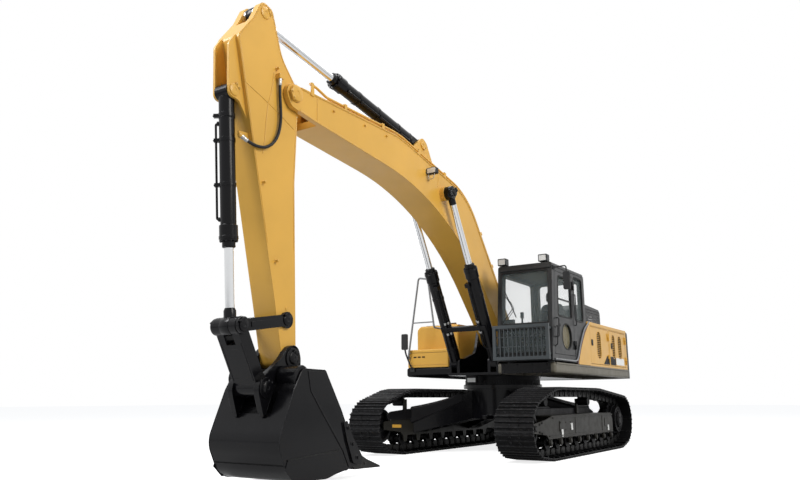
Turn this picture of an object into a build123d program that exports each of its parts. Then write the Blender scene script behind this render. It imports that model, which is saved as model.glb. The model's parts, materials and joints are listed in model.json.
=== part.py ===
"""Crawler excavator with a one-piece boom, an arm and a digging bucket.

Frame: millimetres, +X forward, +Y to the left (the cab side), +Z up.
The origin is on the ground, on the axis about which the house slews.
Every sub-part is written to parts/NODE.step.
"""

from build123d import *
import os
from math import atan2, cos, pi, radians, sin, tan

PIN_GAP = 0.3               # running clearance of pins and between faces at a pivot

# Tracks and undercarriage
TRACK_GAUGE = 2594          # between the two track centre planes
SHOE_WIDTH = 600
SHOE_PLATE = 14             # thickness of a shoe's plate
GROUSER_HEIGHT = 26
GROUSER_FOOT = 38           # length of a grouser where it meets the plate
GROUSERS = 3                # on each shoe
LINK_HEIGHT = 112           # chain rails, from the shoe plates inwards
LINK_WIDTH = 46
LINK_GAP = 92               # clear width between the two chain rails
SHOE_PITCH = 216
SHOE_SAG = 20               # a flat shoe's middle lies this much inside a round band
IDLER = (2085, 470)         # (x, z) of the idler's shaft
IDLER_TIP_RADIUS = 420      # grouser tips round the idler
SPROCKET = (-2007, 509)     # (x, z) of the sprocket's shaft
SPROCKET_TIP_RADIUS = 440   # grouser tips round the sprocket
SPROCKET_TEETH = 21
GROUND_ROLLER_X = (-1480, 1500)     # last and first bottom roller
CARRIER_X = (1450, -520)    # the two top rollers of each track
CARRIER_TOP_Z = 1072        # grouser tips over the top rollers
GROUND_ROLLER_RADIUS = 88
CARRIER_ROLLER_RADIUS = 70
GROUND_ROLLERS = 8
GROUND_ROLLER_Z = GROUSER_HEIGHT + SHOE_PLATE + LINK_HEIGHT + GROUND_ROLLER_RADIUS + PIN_GAP
FLANGE_OVER = 16            # roller flanges beyond the tread
ROLLER_SHAFT = 34
LUG_HALF = 46               # half length of a lug that holds a roller's shaft
LUG_LOW_Z = 196
RAIL_OUTER = LINK_GAP / 2 + LINK_WIDTH      # outside of the chain rails from the track's centre
FRAME_HALF_WIDTH = 165      # track frame, each side of the track's centre plane
FRAME_PLATE = 22
BEAM_LOW_Z = 300
BEAM_HIGH_Z = 640
BEAM_REAR_X = -1600
BEAM_FRONT_X = 1640
CENTRE_TOP_Z = 1130         # top of the centre frame, under the slewing ring
CENTRE_RADIUS = 640
CENTRE_PLATE = 26
LEG_X = 1000                # where a leg of the centre frame meets its track frame
LEG_ROOT_Y = 330
SWIVEL_RADIUS = 280         # opening for the swivel joint and its hoses
TOW_EYE = (735, 590)        # (x, z) of the front tow eye's middle; its bore is upright
TOW_EYE_HALF = 30
TOW_BORE_RADIUS = 30
SLEW_RING_OUTER = 660
SLEW_RING_INNER = 520

# House
PANEL_GAP = 6               # seam between a door and what surrounds it
DECK_LOW_Z = 1286
DECK_TOP_Z = 1452
HOUSE_HALF_WIDTH = 1520
DECK_FRONT_LEFT_X = 1303
DECK_FRONT_RIGHT_X = 850
DECK_REAR_X = -2700
CENTRE_HALF_WIDTH = 545     # the revolving frame between the two side decks
WEB_REAR_X = -1180          # the frame's upright webs end in front of the engine
SKIRT_ROUND = 45
COVER_HALF_WIDTH = 1506
COVER_TOP_Z = 2230
COVER_FRONT_X = -410
COVER_WALL = 30             # a door or fixed cover, as thick as its whole section
TAIL_DEPTH = 600            # counterweight behind the decks, on the centre plane
TANK_FRONT_X = 500
TANK_SPLIT_X = -200
TANK_REAR_X = -950
TANK_INNER_Y = -620
TANK_ROUND = 110
TOOLBOX_TOP_Z = 1770
HOOD_LEFT_Y = 1240
HOOD_RIGHT_Y = -600
HOOD_FRONT_X = -850

HINGE_RADIUS = 14
HINGE_REACH = 16            # hinge axes outside the covers
HINGE_HEIGHTS = (1620, 2020)
HINGE_LENGTH = 70
HINGE_LEAF = 46
LEVEL_HINGE_RADIUS = 11
HOOD_HINGE = (DECK_REAR_X + PANEL_GAP / 2, COVER_TOP_Z + 45)
HOOD_HINGE_Y = (-400, 320, 1040)
LID_HINGE = (TANK_FRONT_X + 20, TOOLBOX_TOP_Z + 14)
LID_HINGE_Y = (-1300, -830)
LID_THICK = 54

# Cab
CAB_LEFT_Y = 1518
CAB_RIGHT_Y = 576
CAB_FLOOR_Z = 1480
CAB_ROOF_Z = 3050
CAB_FRONT_LOW_X = 1400
CAB_FRONT_HIGH_X = 1253
CAB_REAR_X = -250
CAB_WALL = 60
CAB_RAIL_Z = 2030           # cross rail under the windscreen
GUARD_FRONT_X = 1534
DOOR_FRONT_X = 1215
DOOR_REAR_X = 372
DOOR_THICK = 44
GLASS_THICK = 8
ROOF_THICK = 70
FLOOR_THICK = 60
REAR_WINDOW_X = (-130, 290)
WINDOW_Z = (2180, 2930)
RIGHT_WINDOW_X = (-100, 1180)
RIGHT_WINDOW_Z = (1960, 2900)
BACK_WINDOW_Z = (2240, 2900)
BACK_WINDOW_Y = (CAB_RIGHT_Y + 110, CAB_LEFT_Y - 110)
CAB_HINGE_Z = (1760, 2760)
CAB_HINGE_LENGTH = 70
CAB_HINGE_X = DOOR_REAR_X - PANEL_GAP / 2
CAB_HINGE_REACH = 24        # hinge axis outside the cab's left face
DOOR_LOW_Z = CAB_FLOOR_Z + FLOOR_THICK + 40 + PANEL_GAP
DOOR_HIGH_Z = CAB_ROOF_Z - ROOF_THICK - 60 - PANEL_GAP
DOOR_SPLIT_Z = 2150         # between the upper windows and the lower one
DOOR_WINDOWS = (
    # rear x, front x, low z, high z, corner radius, lean of the front edge
    (DOOR_REAR_X + 60, DOOR_REAR_X + 700, DOOR_SPLIT_Z + 45, DOOR_HIGH_Z - 55, 50, 60),
    (DOOR_REAR_X + 130, DOOR_REAR_X + 560, DOOR_LOW_Z + 90, DOOR_SPLIT_Z - 60, 190, 0),
)

# Pivots of the working equipment, as (x, z) on the machine's centre plane
BOOM_FOOT = (200, 2000)
BOOM_NOSE = (6030, 4470)
BOOM_ROD_PIN = (2500, 4075)
BOOM_BARREL_PIN = (1040, 1487)
ARM_BARREL_PIN = (2900, 4800)
ARM_ROD_PIN = (6520, 5320)
BUCKET_BARREL_PIN = (6900, 4220)
ARM_TIP = (5920, 1345)
ROCKER_PIN = (6006, 1765)
LINK_TOP_PIN = (6674, 1654)
LINK_LOW_PIN = (6323, 1019)

# Working equipment
FAR = 1500                  # past the end of any plate near a pivot, for cuts that run through
BOOM_HALF_WIDTH = 240
BOOM_SIDE_PLATE = 14
BOOM_FLANGE = 18
BOOM_FOOT_HALF = 265
FORK_HALF_INNER = 177       # inside of the boom nose's cheeks
FORK_ROOT_X = 5560          # inner end of the gap between the nose's cheeks
ARM_HALF_WIDTH = 168
ARM_PLATE = 14
BOOM_CYLINDER_Y = 370       # plane of each boom cylinder
EYE_WIDTH = 110             # eyes of the boom cylinders
BARREL_RADIUS = {"boom": 96, "arm": 98, "bucket": 86}
ROD_RADIUS = {"boom": 52, "arm": 56, "bucket": 50}
BARREL_LENGTH = {"boom": 1760, "arm": 2190, "bucket": 1730}
CLOSED_LENGTH = {"boom": 2130, "arm": 2370, "bucket": 1920}    # eye to eye, shut
CAP_ROOM = 250              # from the foot eye to the rod's end in a shut cylinder
FLAT_FOOT = {"boom": 132, "arm": 260, "bucket": 122}    # how far a barrel's foot is flat-sided
PIN_RADIUS = 50
BUCKET_HALF_WIDTH = 515
BUCKET_PLATE = 24
EAR_THICK = 52
HEAD_EYE_HALF = 92
ROCKER_INNER = ARM_HALF_WIDTH + PIN_GAP
ROCKER_OUTER = ROCKER_INNER + 34
LINK_HALF = ROCKER_INNER - 2 * PIN_GAP
LINK_FORK_HALF = 66         # inside of the link's upper fork, beside the rod's eye
TAIL_EYE_HALF = EYE_WIDTH / 2 + 25
TEETH = 5
TOOTH_TIP = (4620, 100)
TOOTH_HALF = 48

# Pipes, hose and mirrors
PIPE_RADIUS = 17
PIPE_LIFT = 54              # pipe centres above the boom's top
OUTER_PIPE_Y = 212
INNER_PIPE_Y = 158          # this pair ends in front of the nose's fork
PIPE_NOSE_X = 5745
PIPE_END_X = 5330
THIN_PIPE_RADIUS = 13       # along the boom cylinders' barrels
CLAMP_BAR = (640, 720)      # from the barrels' foot pins
PORT_BLOCK = (1400, 1470)   # where the thin pipes enter the barrels
THIN_PIPES = ((66, 100), (106, 62))     # (in front of, inwards of) a barrel's axis
HOSE_RADIUS = 18
HOSE_BEND = 190
HOSE_ROUTE = [
    (6270, 205, 4575), (6270, 205, 4425), (6246, 205, 4245), (6230, 205, 4062), (6262, 205, 3882),
    (6350, 205, 3742), (6470, 205, 3662), (6600, 203, 3638), (6700, 166, 3672), (6768, 134, 3720),
]
MIRROR_THICK = 34


def at_xz(a, b, c):
    """Point at x = a, z = b on the plane y = c."""
    return Vector(a, c, b)


def at_xy(a, b, c):
    """Point at x = a, y = b on the plane z = c."""
    return Vector(a, b, c)


def at_yz(a, b, c):
    """Point at y = a, z = b on the plane x = c."""
    return Vector(c, a, b)


def outline(corners, place, level):
    """Closed wire of straight runs through corners (a, b, radius of the corner)."""
    count = len(corners)
    spots = [place(a, b, level) for a, b, *_ in corners]
    runs = []
    for i, corner in enumerate(corners):
        here = spots[i]
        radius = corner[2] if len(corner) > 2 else 0
        if radius == 0:
            runs.append((here, None, here))
            continue
        back = (spots[i - 1] - here).normalized()
        ahead = (spots[(i + 1) % count] - here).normalized()
        half = radians(back.get_angle(ahead)) / 2
        cut = radius / tan(half)
        middle = here + (back + ahead).normalized() * (radius / sin(half) - radius)
        runs.append((here + back * cut, middle, here + ahead * cut))
    edges = []
    for i, (first, middle, last) in enumerate(runs):
        if middle is not None:
            edges.append(Edge.make_three_point_arc(first, middle, last))
        following = runs[(i + 1) % count][0]
        if (following - last).length > PIN_GAP / 10:
            edges.append(Edge.make_line(last, following))
    return Wire(edges)


def prism(corners, place, low, high):
    """Solid between two levels, of the outline through the corners."""
    step = place(0, 0, high) - place(0, 0, low)
    return Solid.extrude(Face(outline(corners, place, low)), step)


def side_prism(corners, low, high):
    """Solid with an outline seen from the side, from y = low to y = high."""
    return prism(corners, at_xz, low, high)


def mirrored(shape):
    """The shape's mirror image on the other side of the centre plane."""
    return shape.mirror(Plane.XZ)


def block(x, y, z):
    """Box between pairs of x, y and z limits."""
    size = [abs(high - low) for low, high in (x, y, z)]
    middle = [(high + low) / 2 for low, high in (x, y, z)]
    return Pos(*middle) * Box(*size)


def disc_y(spot, radius, low, high):
    """Cylinder across the machine about (x, z), from y = low to y = high."""
    return Solid.make_cylinder(radius, high - low, Plane((spot[0], low, spot[1]), z_dir=(0, 1, 0)))


def disc_z(spot, radius, low, high):
    """Upright cylinder about (x, y), from z = low to z = high."""
    return Solid.make_cylinder(radius, high - low, Plane((spot[0], spot[1], low), z_dir=(0, 0, 1)))


def disc_x(spot, radius, low, high):
    """Cylinder along the machine about (y, z), from x = low to x = high."""
    return Solid.make_cylinder(radius, high - low, Plane((low, spot[0], spot[1]), z_dir=(1, 0, 0)))


def tube(points, radius, bend):
    """Round bar or pipe along straight runs joined by equal bends."""
    path = FilletPolyline(*points, radius=bend)
    return sweep(Plane(path @ 0, z_dir=path % 0) * Circle(radius), path).solid()


def joined(pieces):
    """One shape from pieces that touch or overlap."""
    total = pieces[0]
    for piece in pieces[1:]:
        total = total + piece
    return total


NODES = {}


def keep(name, *pieces):
    """Adds a sub-part made of one solid or of several that don't touch."""
    solids = [solid for piece in pieces for solid in piece.solids()]
    NODES[name] = solids[0] if len(solids) == 1 else Compound(solids)


class Belt:
    """Closed band round discs (x, z, radius), run through against the clock."""

    def __init__(self, discs):
        """Works out the straight runs and the arcs between the discs."""
        self.pieces = []
        count = len(discs)
        normals = []
        for i, (x0, z0, r0) in enumerate(discs):
            x1, z1, r1 = discs[(i + 1) % count]
            step = Vector(x1 - x0, 0, z1 - z0)
            along = step.normalized()
            lean = (r0 - r1) / step.length
            side = Vector(along.Z, 0, -along.X)
            normals.append(along * lean + side * (1 - lean * lean) ** 0.5)
        for i, (x, z, r) in enumerate(discs):
            before, after = normals[i - 1], normals[i]
            start = atan2(before.Z, before.X)
            turn = (atan2(after.Z, after.X) - start) % (2 * pi)
            centre = Vector(x, 0, z)
            self.pieces.append(("arc", centre, r, start, turn, r * turn))
            x1, z1, r1 = discs[(i + 1) % count]
            first, last = centre + after * r, Vector(x1, 0, z1) + after * r1
            self.pieces.append(("run", first, last, after, 0, (last - first).length))
        self.length = sum(piece[-1] for piece in self.pieces)

    def at(self, distance):
        """Place at a distance along the band."""
        rest = distance % self.length
        for kind, first, second, third, turn, length in self.pieces:
            if rest <= length:
                break
            rest -= length
        if kind == "arc":
            angle = third + rest / second
            return first + Vector(cos(angle), 0, sin(angle)) * second
        return first + (second - first).normalized() * rest


def belt_wire(discs, level):
    """Closed wire round the discs, at y = level."""
    shift = Vector(0, level, 0)
    edges = []
    for kind, first, second, third, turn, length in Belt(discs).pieces:
        if kind == "run":
            edges.append(Edge.make_line(first + shift, second + shift))
            continue
        spots = []
        for share in (0, 0.5, 1):
            angle = third + turn * share
            spots.append(first + Vector(cos(angle), 0, sin(angle)) * second + shift)
        edges.append(Edge.make_three_point_arc(*spots))
    return Wire(edges)


def pin_line_discs(offset):
    """Discs of the chain's pin line, with the band moved outwards by the offset."""
    above_pins = GROUSER_HEIGHT + SHOE_PLATE + LINK_HEIGHT / 2
    ground_z = GROUSER_HEIGHT + SHOE_PLATE + LINK_HEIGHT + GROUND_ROLLER_RADIUS
    ground_r = GROUND_ROLLER_RADIUS + LINK_HEIGHT / 2 + offset
    carrier_r = CARRIER_ROLLER_RADIUS + LINK_HEIGHT / 2 + offset
    rear, front = GROUND_ROLLER_X
    run_out = SHOE_PITCH        # the flat run goes on a little past the end rollers
    return [
        (rear - run_out, ground_z, ground_r),
        (front + run_out, ground_z, ground_r),
        (*IDLER, IDLER_TIP_RADIUS - above_pins + offset),
        (CARRIER_X[0], carrier_centre_z(), carrier_r),
        (CARRIER_X[1], carrier_centre_z(), carrier_r),
        (*SPROCKET, SPROCKET_TIP_RADIUS - above_pins + offset),
    ]


def carrier_centre_z():
    """Height of the top rollers' shafts."""
    return CARRIER_TOP_Z - GROUSER_HEIGHT - SHOE_PLATE - LINK_HEIGHT - CARRIER_ROLLER_RADIUS


def track(centre_y):
    """One track: shoes with grousers on two chain rails, as one closed loop."""
    belt = Belt(pin_line_discs(0))
    shoes = round(belt.length / SHOE_PITCH)
    pitch = belt.length / shoes
    plate_out = LINK_HEIGHT / 2 + SHOE_PLATE
    low, high = centre_y - SHOE_WIDTH / 2, centre_y + SHOE_WIDTH / 2
    points = []
    for shoe in range(shoes):
        first_pin, last_pin = belt.at(shoe * pitch), belt.at((shoe + 1) * pitch)
        place = (first_pin + last_pin) / 2
        along = (last_pin - first_pin).normalized()
        outward = Vector(along.Z, 0, -along.X)
        for grouser in range(GROUSERS):
            middle = pitch * ((grouser + 0.5) / GROUSERS - 0.5)
            for shift, height in ((-0.5, 0), (0, GROUSER_HEIGHT), (0.5, 0)):
                spot = place + along * (middle + shift * GROUSER_FOOT)
                points.append(spot + outward * (plate_out + height) + Vector(0, low, 0))
    width = Vector(0, high - low, 0)
    shoe_loop = Solid.extrude(Face(Wire.make_polygon(points, close=True)), width)
    rail_top = LINK_HEIGHT / 2 - SHOE_SAG
    inside = Solid.extrude(Face(belt_wire(pin_line_discs(rail_top), low)), width)
    loop = shoe_loop - inside
    for side in (-1, 1):
        middle = centre_y + side * (LINK_GAP + LINK_WIDTH) / 2
        rail_low = middle - LINK_WIDTH / 2
        span = Vector(0, LINK_WIDTH, 0)
        outer = Solid.extrude(Face(belt_wire(pin_line_discs(rail_top), rail_low)), span)
        inner = Solid.extrude(Face(belt_wire(pin_line_discs(-LINK_HEIGHT / 2), rail_low)), span)
        loop = loop + (outer - inner)
    return loop


def ground_roller_places():
    """The x of each bottom roller."""
    rear, front = GROUND_ROLLER_X
    step = (front - rear) / (GROUND_ROLLERS - 1)
    return [rear + i * step for i in range(GROUND_ROLLERS)]


def track_frame(centre_y):
    """Side beam: two plates with roller lugs and idler arms under a top plate."""
    corners = [(BEAM_REAR_X, BEAM_LOW_Z)]
    for x in ground_roller_places():
        corners += [(x - 1.5 * LUG_HALF, BEAM_LOW_Z), (x - LUG_HALF, LUG_LOW_Z, 18)]
        corners += [(x + LUG_HALF, LUG_LOW_Z, 18), (x + 1.5 * LUG_HALF, BEAM_LOW_Z)]
    arm_half = 62
    corners += [
        (BEAM_FRONT_X, BEAM_LOW_Z + 60),
        (IDLER[0] + arm_half, IDLER[1] - arm_half, 40),
        (IDLER[0] + arm_half, IDLER[1] + arm_half, 40),
        (BEAM_FRONT_X, BEAM_HIGH_Z - 50),
        (BEAM_FRONT_X - 260, BEAM_HIGH_Z),
        (BEAM_REAR_X + 90, BEAM_HIGH_Z, 60),
        (BEAM_REAR_X, BEAM_HIGH_Z - 110),
    ]
    pieces = []
    for side in (-1, 1):
        face = centre_y + side * FRAME_HALF_WIDTH
        inner = centre_y + side * (FRAME_HALF_WIDTH - FRAME_PLATE)
        pieces.append(side_prism(corners, min(face, inner), max(face, inner)))
    inside = FRAME_HALF_WIDTH - FRAME_PLATE
    pieces.append(block((BEAM_REAR_X + 150, BEAM_FRONT_X - 260),
                        (centre_y - inside, centre_y + inside),
                        (BEAM_HIGH_Z - FRAME_PLATE, BEAM_HIGH_Z)))
    for x in (BEAM_REAR_X + 200, -500, 500, BEAM_FRONT_X - 300):
        pieces.append(block((x, x + FRAME_PLATE), (centre_y - inside, centre_y + inside),
                            (GROUND_ROLLER_Z + GROUND_ROLLER_RADIUS + 40, BEAM_HIGH_Z - FRAME_PLATE)))
    post_half = 42
    for x in CARRIER_X:
        foot_z = BEAM_HIGH_Z - FRAME_PLATE / 2 if x < BEAM_FRONT_X - 300 else BEAM_HIGH_Z - 60
        post = block((x - post_half, x + post_half),
                     (centre_y - inside, centre_y - RAIL_OUTER - FLANGE_OVER),
                     (foot_z, carrier_centre_z() + post_half))
        pieces.append(post)
    return joined(pieces)


def drive_bracket(side):
    """Plate at the beam's rear that carries the final drive, inboard of the track chain."""
    low = side * (TRACK_GAUGE / 2 - FRAME_HALF_WIDTH)
    high = side * (TRACK_GAUGE / 2 - RAIL_OUTER - 10)
    hub = 215
    corners = [
        (BEAM_REAR_X + 40, BEAM_LOW_Z + 20),
        (BEAM_REAR_X + 40, BEAM_HIGH_Z - 80),
        (SPROCKET[0], SPROCKET[1] + hub),
        (SPROCKET[0], SPROCKET[1] - hub),
    ]
    plate = side_prism(corners, min(low, high), max(low, high))
    return plate + disc_y(SPROCKET, hub, min(low, high), max(low, high))


def sprocket_outline():
    """Corners of the toothed wheel, four to each tooth."""
    pin_radius = SPROCKET_TIP_RADIUS - GROUSER_HEIGHT - SHOE_PLATE - LINK_HEIGHT / 2
    tip, root = pin_radius + 16, pin_radius - 30
    shares = ((0.00, root), (0.22, root), (0.40, tip), (0.82, tip))
    corners = []
    for tooth in range(SPROCKET_TEETH):
        for share, radius in shares:
            angle = 2 * pi * (tooth + share) / SPROCKET_TEETH
            corners.append((SPROCKET[0] + radius * cos(angle), SPROCKET[1] + radius * sin(angle)))
    return corners


def sprocket(side):
    """Toothed wheel with its final drive: a stepped housing outside, a flange inside."""
    centre = TRACK_GAUGE / 2
    half = LINK_GAP / 2 - 8
    wheel = side_prism(sprocket_outline(), centre - half, centre + half)
    steps = (
        # radius, from, to: distances from the track's centre plane
        (262, half, half + 46),
        (232, half + 46, half + 120),
        (150, half + 120, half + 150),
        (232, -RAIL_OUTER - 10, -half),
    )
    for radius, low, high in steps:
        wheel = wheel + disc_y(SPROCKET, radius, centre + low, centre + high)
    return wheel if side > 0 else mirrored(wheel)


def idler(side):
    """Front wheel: two treads, a centre flange, a dished web and its shaft."""
    centre = TRACK_GAUGE / 2
    tread = IDLER_TIP_RADIUS - GROUSER_HEIGHT - SHOE_PLATE - LINK_HEIGHT - PIN_GAP
    flange_half = LINK_GAP / 2 - 8
    web_half, hub = 30, 92
    shape = disc_y(IDLER, tread, centre - RAIL_OUTER, centre + RAIL_OUTER)
    shape = shape + disc_y(IDLER, tread + 22, centre - flange_half, centre + flange_half)
    for low, high in ((-RAIL_OUTER, -web_half), (web_half, RAIL_OUTER)):
        shape = shape - disc_y(IDLER, tread - 44, centre + low, centre + high)
    shape = shape + disc_y(IDLER, hub, centre - RAIL_OUTER, centre + RAIL_OUTER)
    seat = FRAME_HALF_WIDTH - FRAME_PLATE - PIN_GAP
    shape = shape + disc_y(IDLER, 45, centre - seat, centre + seat)
    return shape if side > 0 else mirrored(shape)


def roller_set(side):
    """Bottom and top rollers of one track, each a separate solid."""
    centre = TRACK_GAUGE / 2
    seat = FRAME_HALF_WIDTH - FRAME_PLATE - PIN_GAP
    neck = LINK_GAP / 2 - 4
    solids = []
    for x in ground_roller_places():
        spot = (x, GROUND_ROLLER_Z)
        roller = disc_y(spot, ROLLER_SHAFT, centre - seat, centre + seat)
        for sign in (-1, 1):
            bands = ((neck, RAIL_OUTER + 4, -PIN_GAP), (RAIL_OUTER + 4, RAIL_OUTER + 18, FLANGE_OVER))
            for near, far, over in bands:
                low, high = sorted((sign * near, sign * far))
                roller = roller + disc_y(spot, GROUND_ROLLER_RADIUS + over, centre + low, centre + high)
        solids.append(roller + disc_y(spot, GROUND_ROLLER_RADIUS - 24, centre - neck, centre + neck))
    for x in CARRIER_X:
        spot = (x, carrier_centre_z() - PIN_GAP)
        roller = disc_y(spot, CARRIER_ROLLER_RADIUS, centre - RAIL_OUTER, centre + RAIL_OUTER)
        solids.append(roller + disc_y(spot, ROLLER_SHAFT, centre - RAIL_OUTER - FLANGE_OVER + PIN_GAP,
                                      centre - RAIL_OUTER))
    return solids if side > 0 else [mirrored(solid) for solid in solids]


def centre_frame():
    """Frame under the slewing ring: a hollow drum, four box legs and two tow eyes."""
    low_z, rim_z = 560, CENTRE_TOP_Z - 60
    shape = disc_z((0, 0), CENTRE_RADIUS, low_z, rim_z)
    shape = shape + disc_z((0, 0), SLEW_RING_OUTER + 40, rim_z, CENTRE_TOP_Z)
    legs, rooms = centre_leg(low_z, rim_z, 0), centre_leg(low_z, rim_z, CENTRE_PLATE)
    shape = joined([shape, *legs])
    for room in rooms:
        shape = shape - room
    shape = shape - disc_z((0, 0), CENTRE_RADIUS - CENTRE_PLATE, low_z + CENTRE_PLATE, rim_z - CENTRE_PLATE)
    shape = shape - disc_z((0, 0), SWIVEL_RADIUS, low_z - 1, CENTRE_TOP_Z + 1)
    eye_x, eye_low, eye_high = TOW_EYE[0], TOW_EYE[1] - TOW_EYE_HALF, TOW_EYE[1] + TOW_EYE_HALF
    eye = prism([
        (CENTRE_RADIUS - 30, -110), (eye_x + 60, -60, 55), (eye_x + 60, 60, 55), (CENTRE_RADIUS - 30, 110),
    ], at_xy, eye_low, eye_high)
    eye = eye - disc_z((0, 0), CENTRE_RADIUS - 1, eye_low - 1, eye_high + 1)
    eye = eye - disc_z((eye_x, 0), TOW_BORE_RADIUS, eye_low - 1, eye_high + 1)
    return joined([shape, eye, eye.mirror(Plane.YZ)]).solid()


def centre_leg(low_z, rim_z, inset):
    """The four legs of the centre frame, or with an inset the room inside each."""
    frame_y = TRACK_GAUGE / 2 - FRAME_HALF_WIDTH - inset
    root = [(90 + inset, low_z + inset), (560 - inset, low_z + inset),
            (560 - inset, rim_z - 30 - inset), (90 + inset, rim_z - inset)]
    tip = [(LEG_X - 240 + inset, 330 + inset), (LEG_X + 240 - inset, 330 + inset),
           (LEG_X + 240 - inset, 600 - inset), (LEG_X - 240 + inset, 620 - inset)]
    leg = Solid.make_loft([outline(root, at_xz, LEG_ROOT_Y), outline(tip, at_xz, frame_y)], True)
    other = leg.mirror(Plane.YZ)
    return leg, other, mirrored(leg), mirrored(other)


def slewing_ring():
    """Bearing between the centre frame and the house."""
    ring = disc_z((0, 0), SLEW_RING_OUTER, CENTRE_TOP_Z, DECK_LOW_Z - PIN_GAP)
    return ring - disc_z((0, 0), SLEW_RING_INNER, CENTRE_TOP_Z - 1, DECK_LOW_Z)


def undercarriage():
    """Everything below the slewing ring."""
    for side, name in ((1, "left"), (-1, "right")):
        centre = side * TRACK_GAUGE / 2
        keep(f"track_{name}", track(centre))
        frame = track_frame(TRACK_GAUGE / 2) + drive_bracket(1)
        keep(f"track_frame_{name}", frame if side > 0 else mirrored(frame))
    keep("sprockets", sprocket(1), sprocket(-1))
    keep("idlers", idler(1), idler(-1))
    keep("track_rollers", *roller_set(1), *roller_set(-1))
    keep("centre_frame", centre_frame())
    keep("slewing_ring", slewing_ring())


def revolving_frame():
    """House frame: bottom plate, two webs with the boom foot's bosses, outer ears."""
    plate_z = DECK_LOW_Z + 40
    web_low, web_high = BOOM_FOOT_HALF + PIN_GAP, BOOM_CYLINDER_Y - EYE_WIDTH / 2 - PIN_GAP
    foot_x, foot_z = BOOM_FOOT
    ear_x, ear_z = BOOM_BARREL_PIN
    ear_r, boss_r = 85, 150
    shape = prism([
        (DECK_REAR_X, -CENTRE_HALF_WIDTH), (ear_x - 150, -CENTRE_HALF_WIDTH),
        (ear_x + ear_r, -CENTRE_HALF_WIDTH + 50), (ear_x + ear_r, CENTRE_HALF_WIDTH - 50),
        (ear_x - 150, CENTRE_HALF_WIDTH), (DECK_REAR_X, CENTRE_HALF_WIDTH),
    ], at_xy, DECK_LOW_Z, plate_z)
    web = side_prism([
        (WEB_REAR_X, plate_z), (ear_x + ear_r, plate_z), (ear_x + ear_r, ear_z + ear_r, 60),
        (ear_x - ear_r, ear_z + ear_r, 60), (foot_x + 300, 1700, 200),
        (foot_x + boss_r, foot_z + boss_r, 120), (foot_x - boss_r, foot_z + boss_r, 120),
        (foot_x - 700, 1760, 300), (WEB_REAR_X, 1700),
    ], web_low, web_high)
    web = web - disc_y(BOOM_FOOT, PIN_RADIUS + 12, web_low - 1, web_high + 1)
    outer = BOOM_CYLINDER_Y + EYE_WIDTH / 2 + PIN_GAP
    ear = side_prism([
        (ear_x - 130, plate_z), (ear_x + ear_r, plate_z), (ear_x + ear_r, ear_z + ear_r, 60),
        (ear_x - ear_r, ear_z + ear_r, 60),
    ], outer, outer + 40)
    pin = disc_y(BOOM_BARREL_PIN, PIN_RADIUS, web_high, outer + 40)
    half = joined([web, ear, pin])
    foot_pin = disc_y(BOOM_FOOT, PIN_RADIUS + 12, -web_high, web_high)
    return joined([shape, half, mirrored(half), foot_pin])


def deck(side):
    """Side deck: a top plate and a rounded skirt, open below between its ribs."""
    front_x = DECK_FRONT_LEFT_X if side > 0 else DECK_FRONT_RIGHT_X
    inner, outer = CENTRE_HALF_WIDTH, HOUSE_HALF_WIDTH
    shape = block((DECK_REAR_X, front_x), (inner, outer), (DECK_LOW_Z, DECK_TOP_Z))
    edges = shape.edges().filter_by(Axis.X).group_by(Axis.Y)[-1]
    shape = fillet(edges, SKIRT_ROUND)
    front = shape.edges().filter_by(Axis.Z).group_by(Axis.X)[-1].sort_by(Axis.Y)[-1:]
    shape = fillet(front, SKIRT_ROUND)
    bays, rib, skin = 4, 14, 12
    length = (front_x - DECK_REAR_X - 2 * skin - (bays - 1) * rib) / bays
    for bay in range(bays):
        start = DECK_REAR_X + skin + bay * (length + rib)
        shape = shape - block((start, start + length), (inner + skin, outer - SKIRT_ROUND),
                              (DECK_LOW_Z - 1, DECK_TOP_Z - skin))
    return shape.solid() if side > 0 else mirrored(shape.solid())


def counterweight():
    """Solid casting behind the engine, its rear face round the slew axis."""
    front_x = DECK_REAR_X - PIN_GAP
    tail_radius, side_y = TAIL_DEPTH - DECK_REAR_X, COVER_HALF_WIDTH
    side_depth = (tail_radius ** 2 - side_y ** 2) ** 0.5 + front_x
    corner = side_depth * 1.1
    low_z, high_z = DECK_LOW_Z, COVER_TOP_Z
    tail = Solid.make_cylinder(tail_radius, high_z - low_z, Plane((0, 0, low_z)))
    body = tail & block((-tail_radius - 10, front_x), (-side_y, side_y), (low_z, high_z))
    body = body.solid()
    upright = body.edges().filter_by(Axis.Z).group_by(Axis.X)
    rear = [edge for group in upright for edge in group if edge.center().X < front_x - 50]
    body = fillet(rear, corner)
    rims = body.edges().filter_by(lambda edge: edge.center().X < front_x - 5)
    body = fillet([e for e in rims if abs(e.center().Z - high_z) < 1], 60)
    return joined([body, *level_knuckles(HOOD_HINGE, HOOD_HINGE_Y, -1, high_z)]).solid()


def level_knuckles(axis, places, half, low_z):
    """Knuckles of a lid's level hinges with their leaves: half -1 is the fixed side's."""
    x, z = axis
    pieces = []
    for y in places:
        low = y if half > 0 else y - HINGE_LENGTH - PIN_GAP
        pieces.append(disc_y(axis, LEVEL_HINGE_RADIUS, low, low + HINGE_LENGTH))
        reach = (x, x + HINGE_LEAF) if half > 0 else (x - HINGE_LEAF, x)
        pieces.append(block(reach, (low, low + HINGE_LENGTH), (low_z, z)))
    return pieces


def cover_bulkheads(side):
    """Where the fixed walls of a side's bodywork stand: (rear x, front x) of each."""
    if side > 0:
        return ((COVER_FRONT_X - 60, COVER_FRONT_X), (-1560, -1500), (DECK_REAR_X, -2600))
    return ((TANK_REAR_X - 70, TANK_REAR_X - PANEL_GAP), (-1830, -1780), (DECK_REAR_X, -2600))


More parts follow.
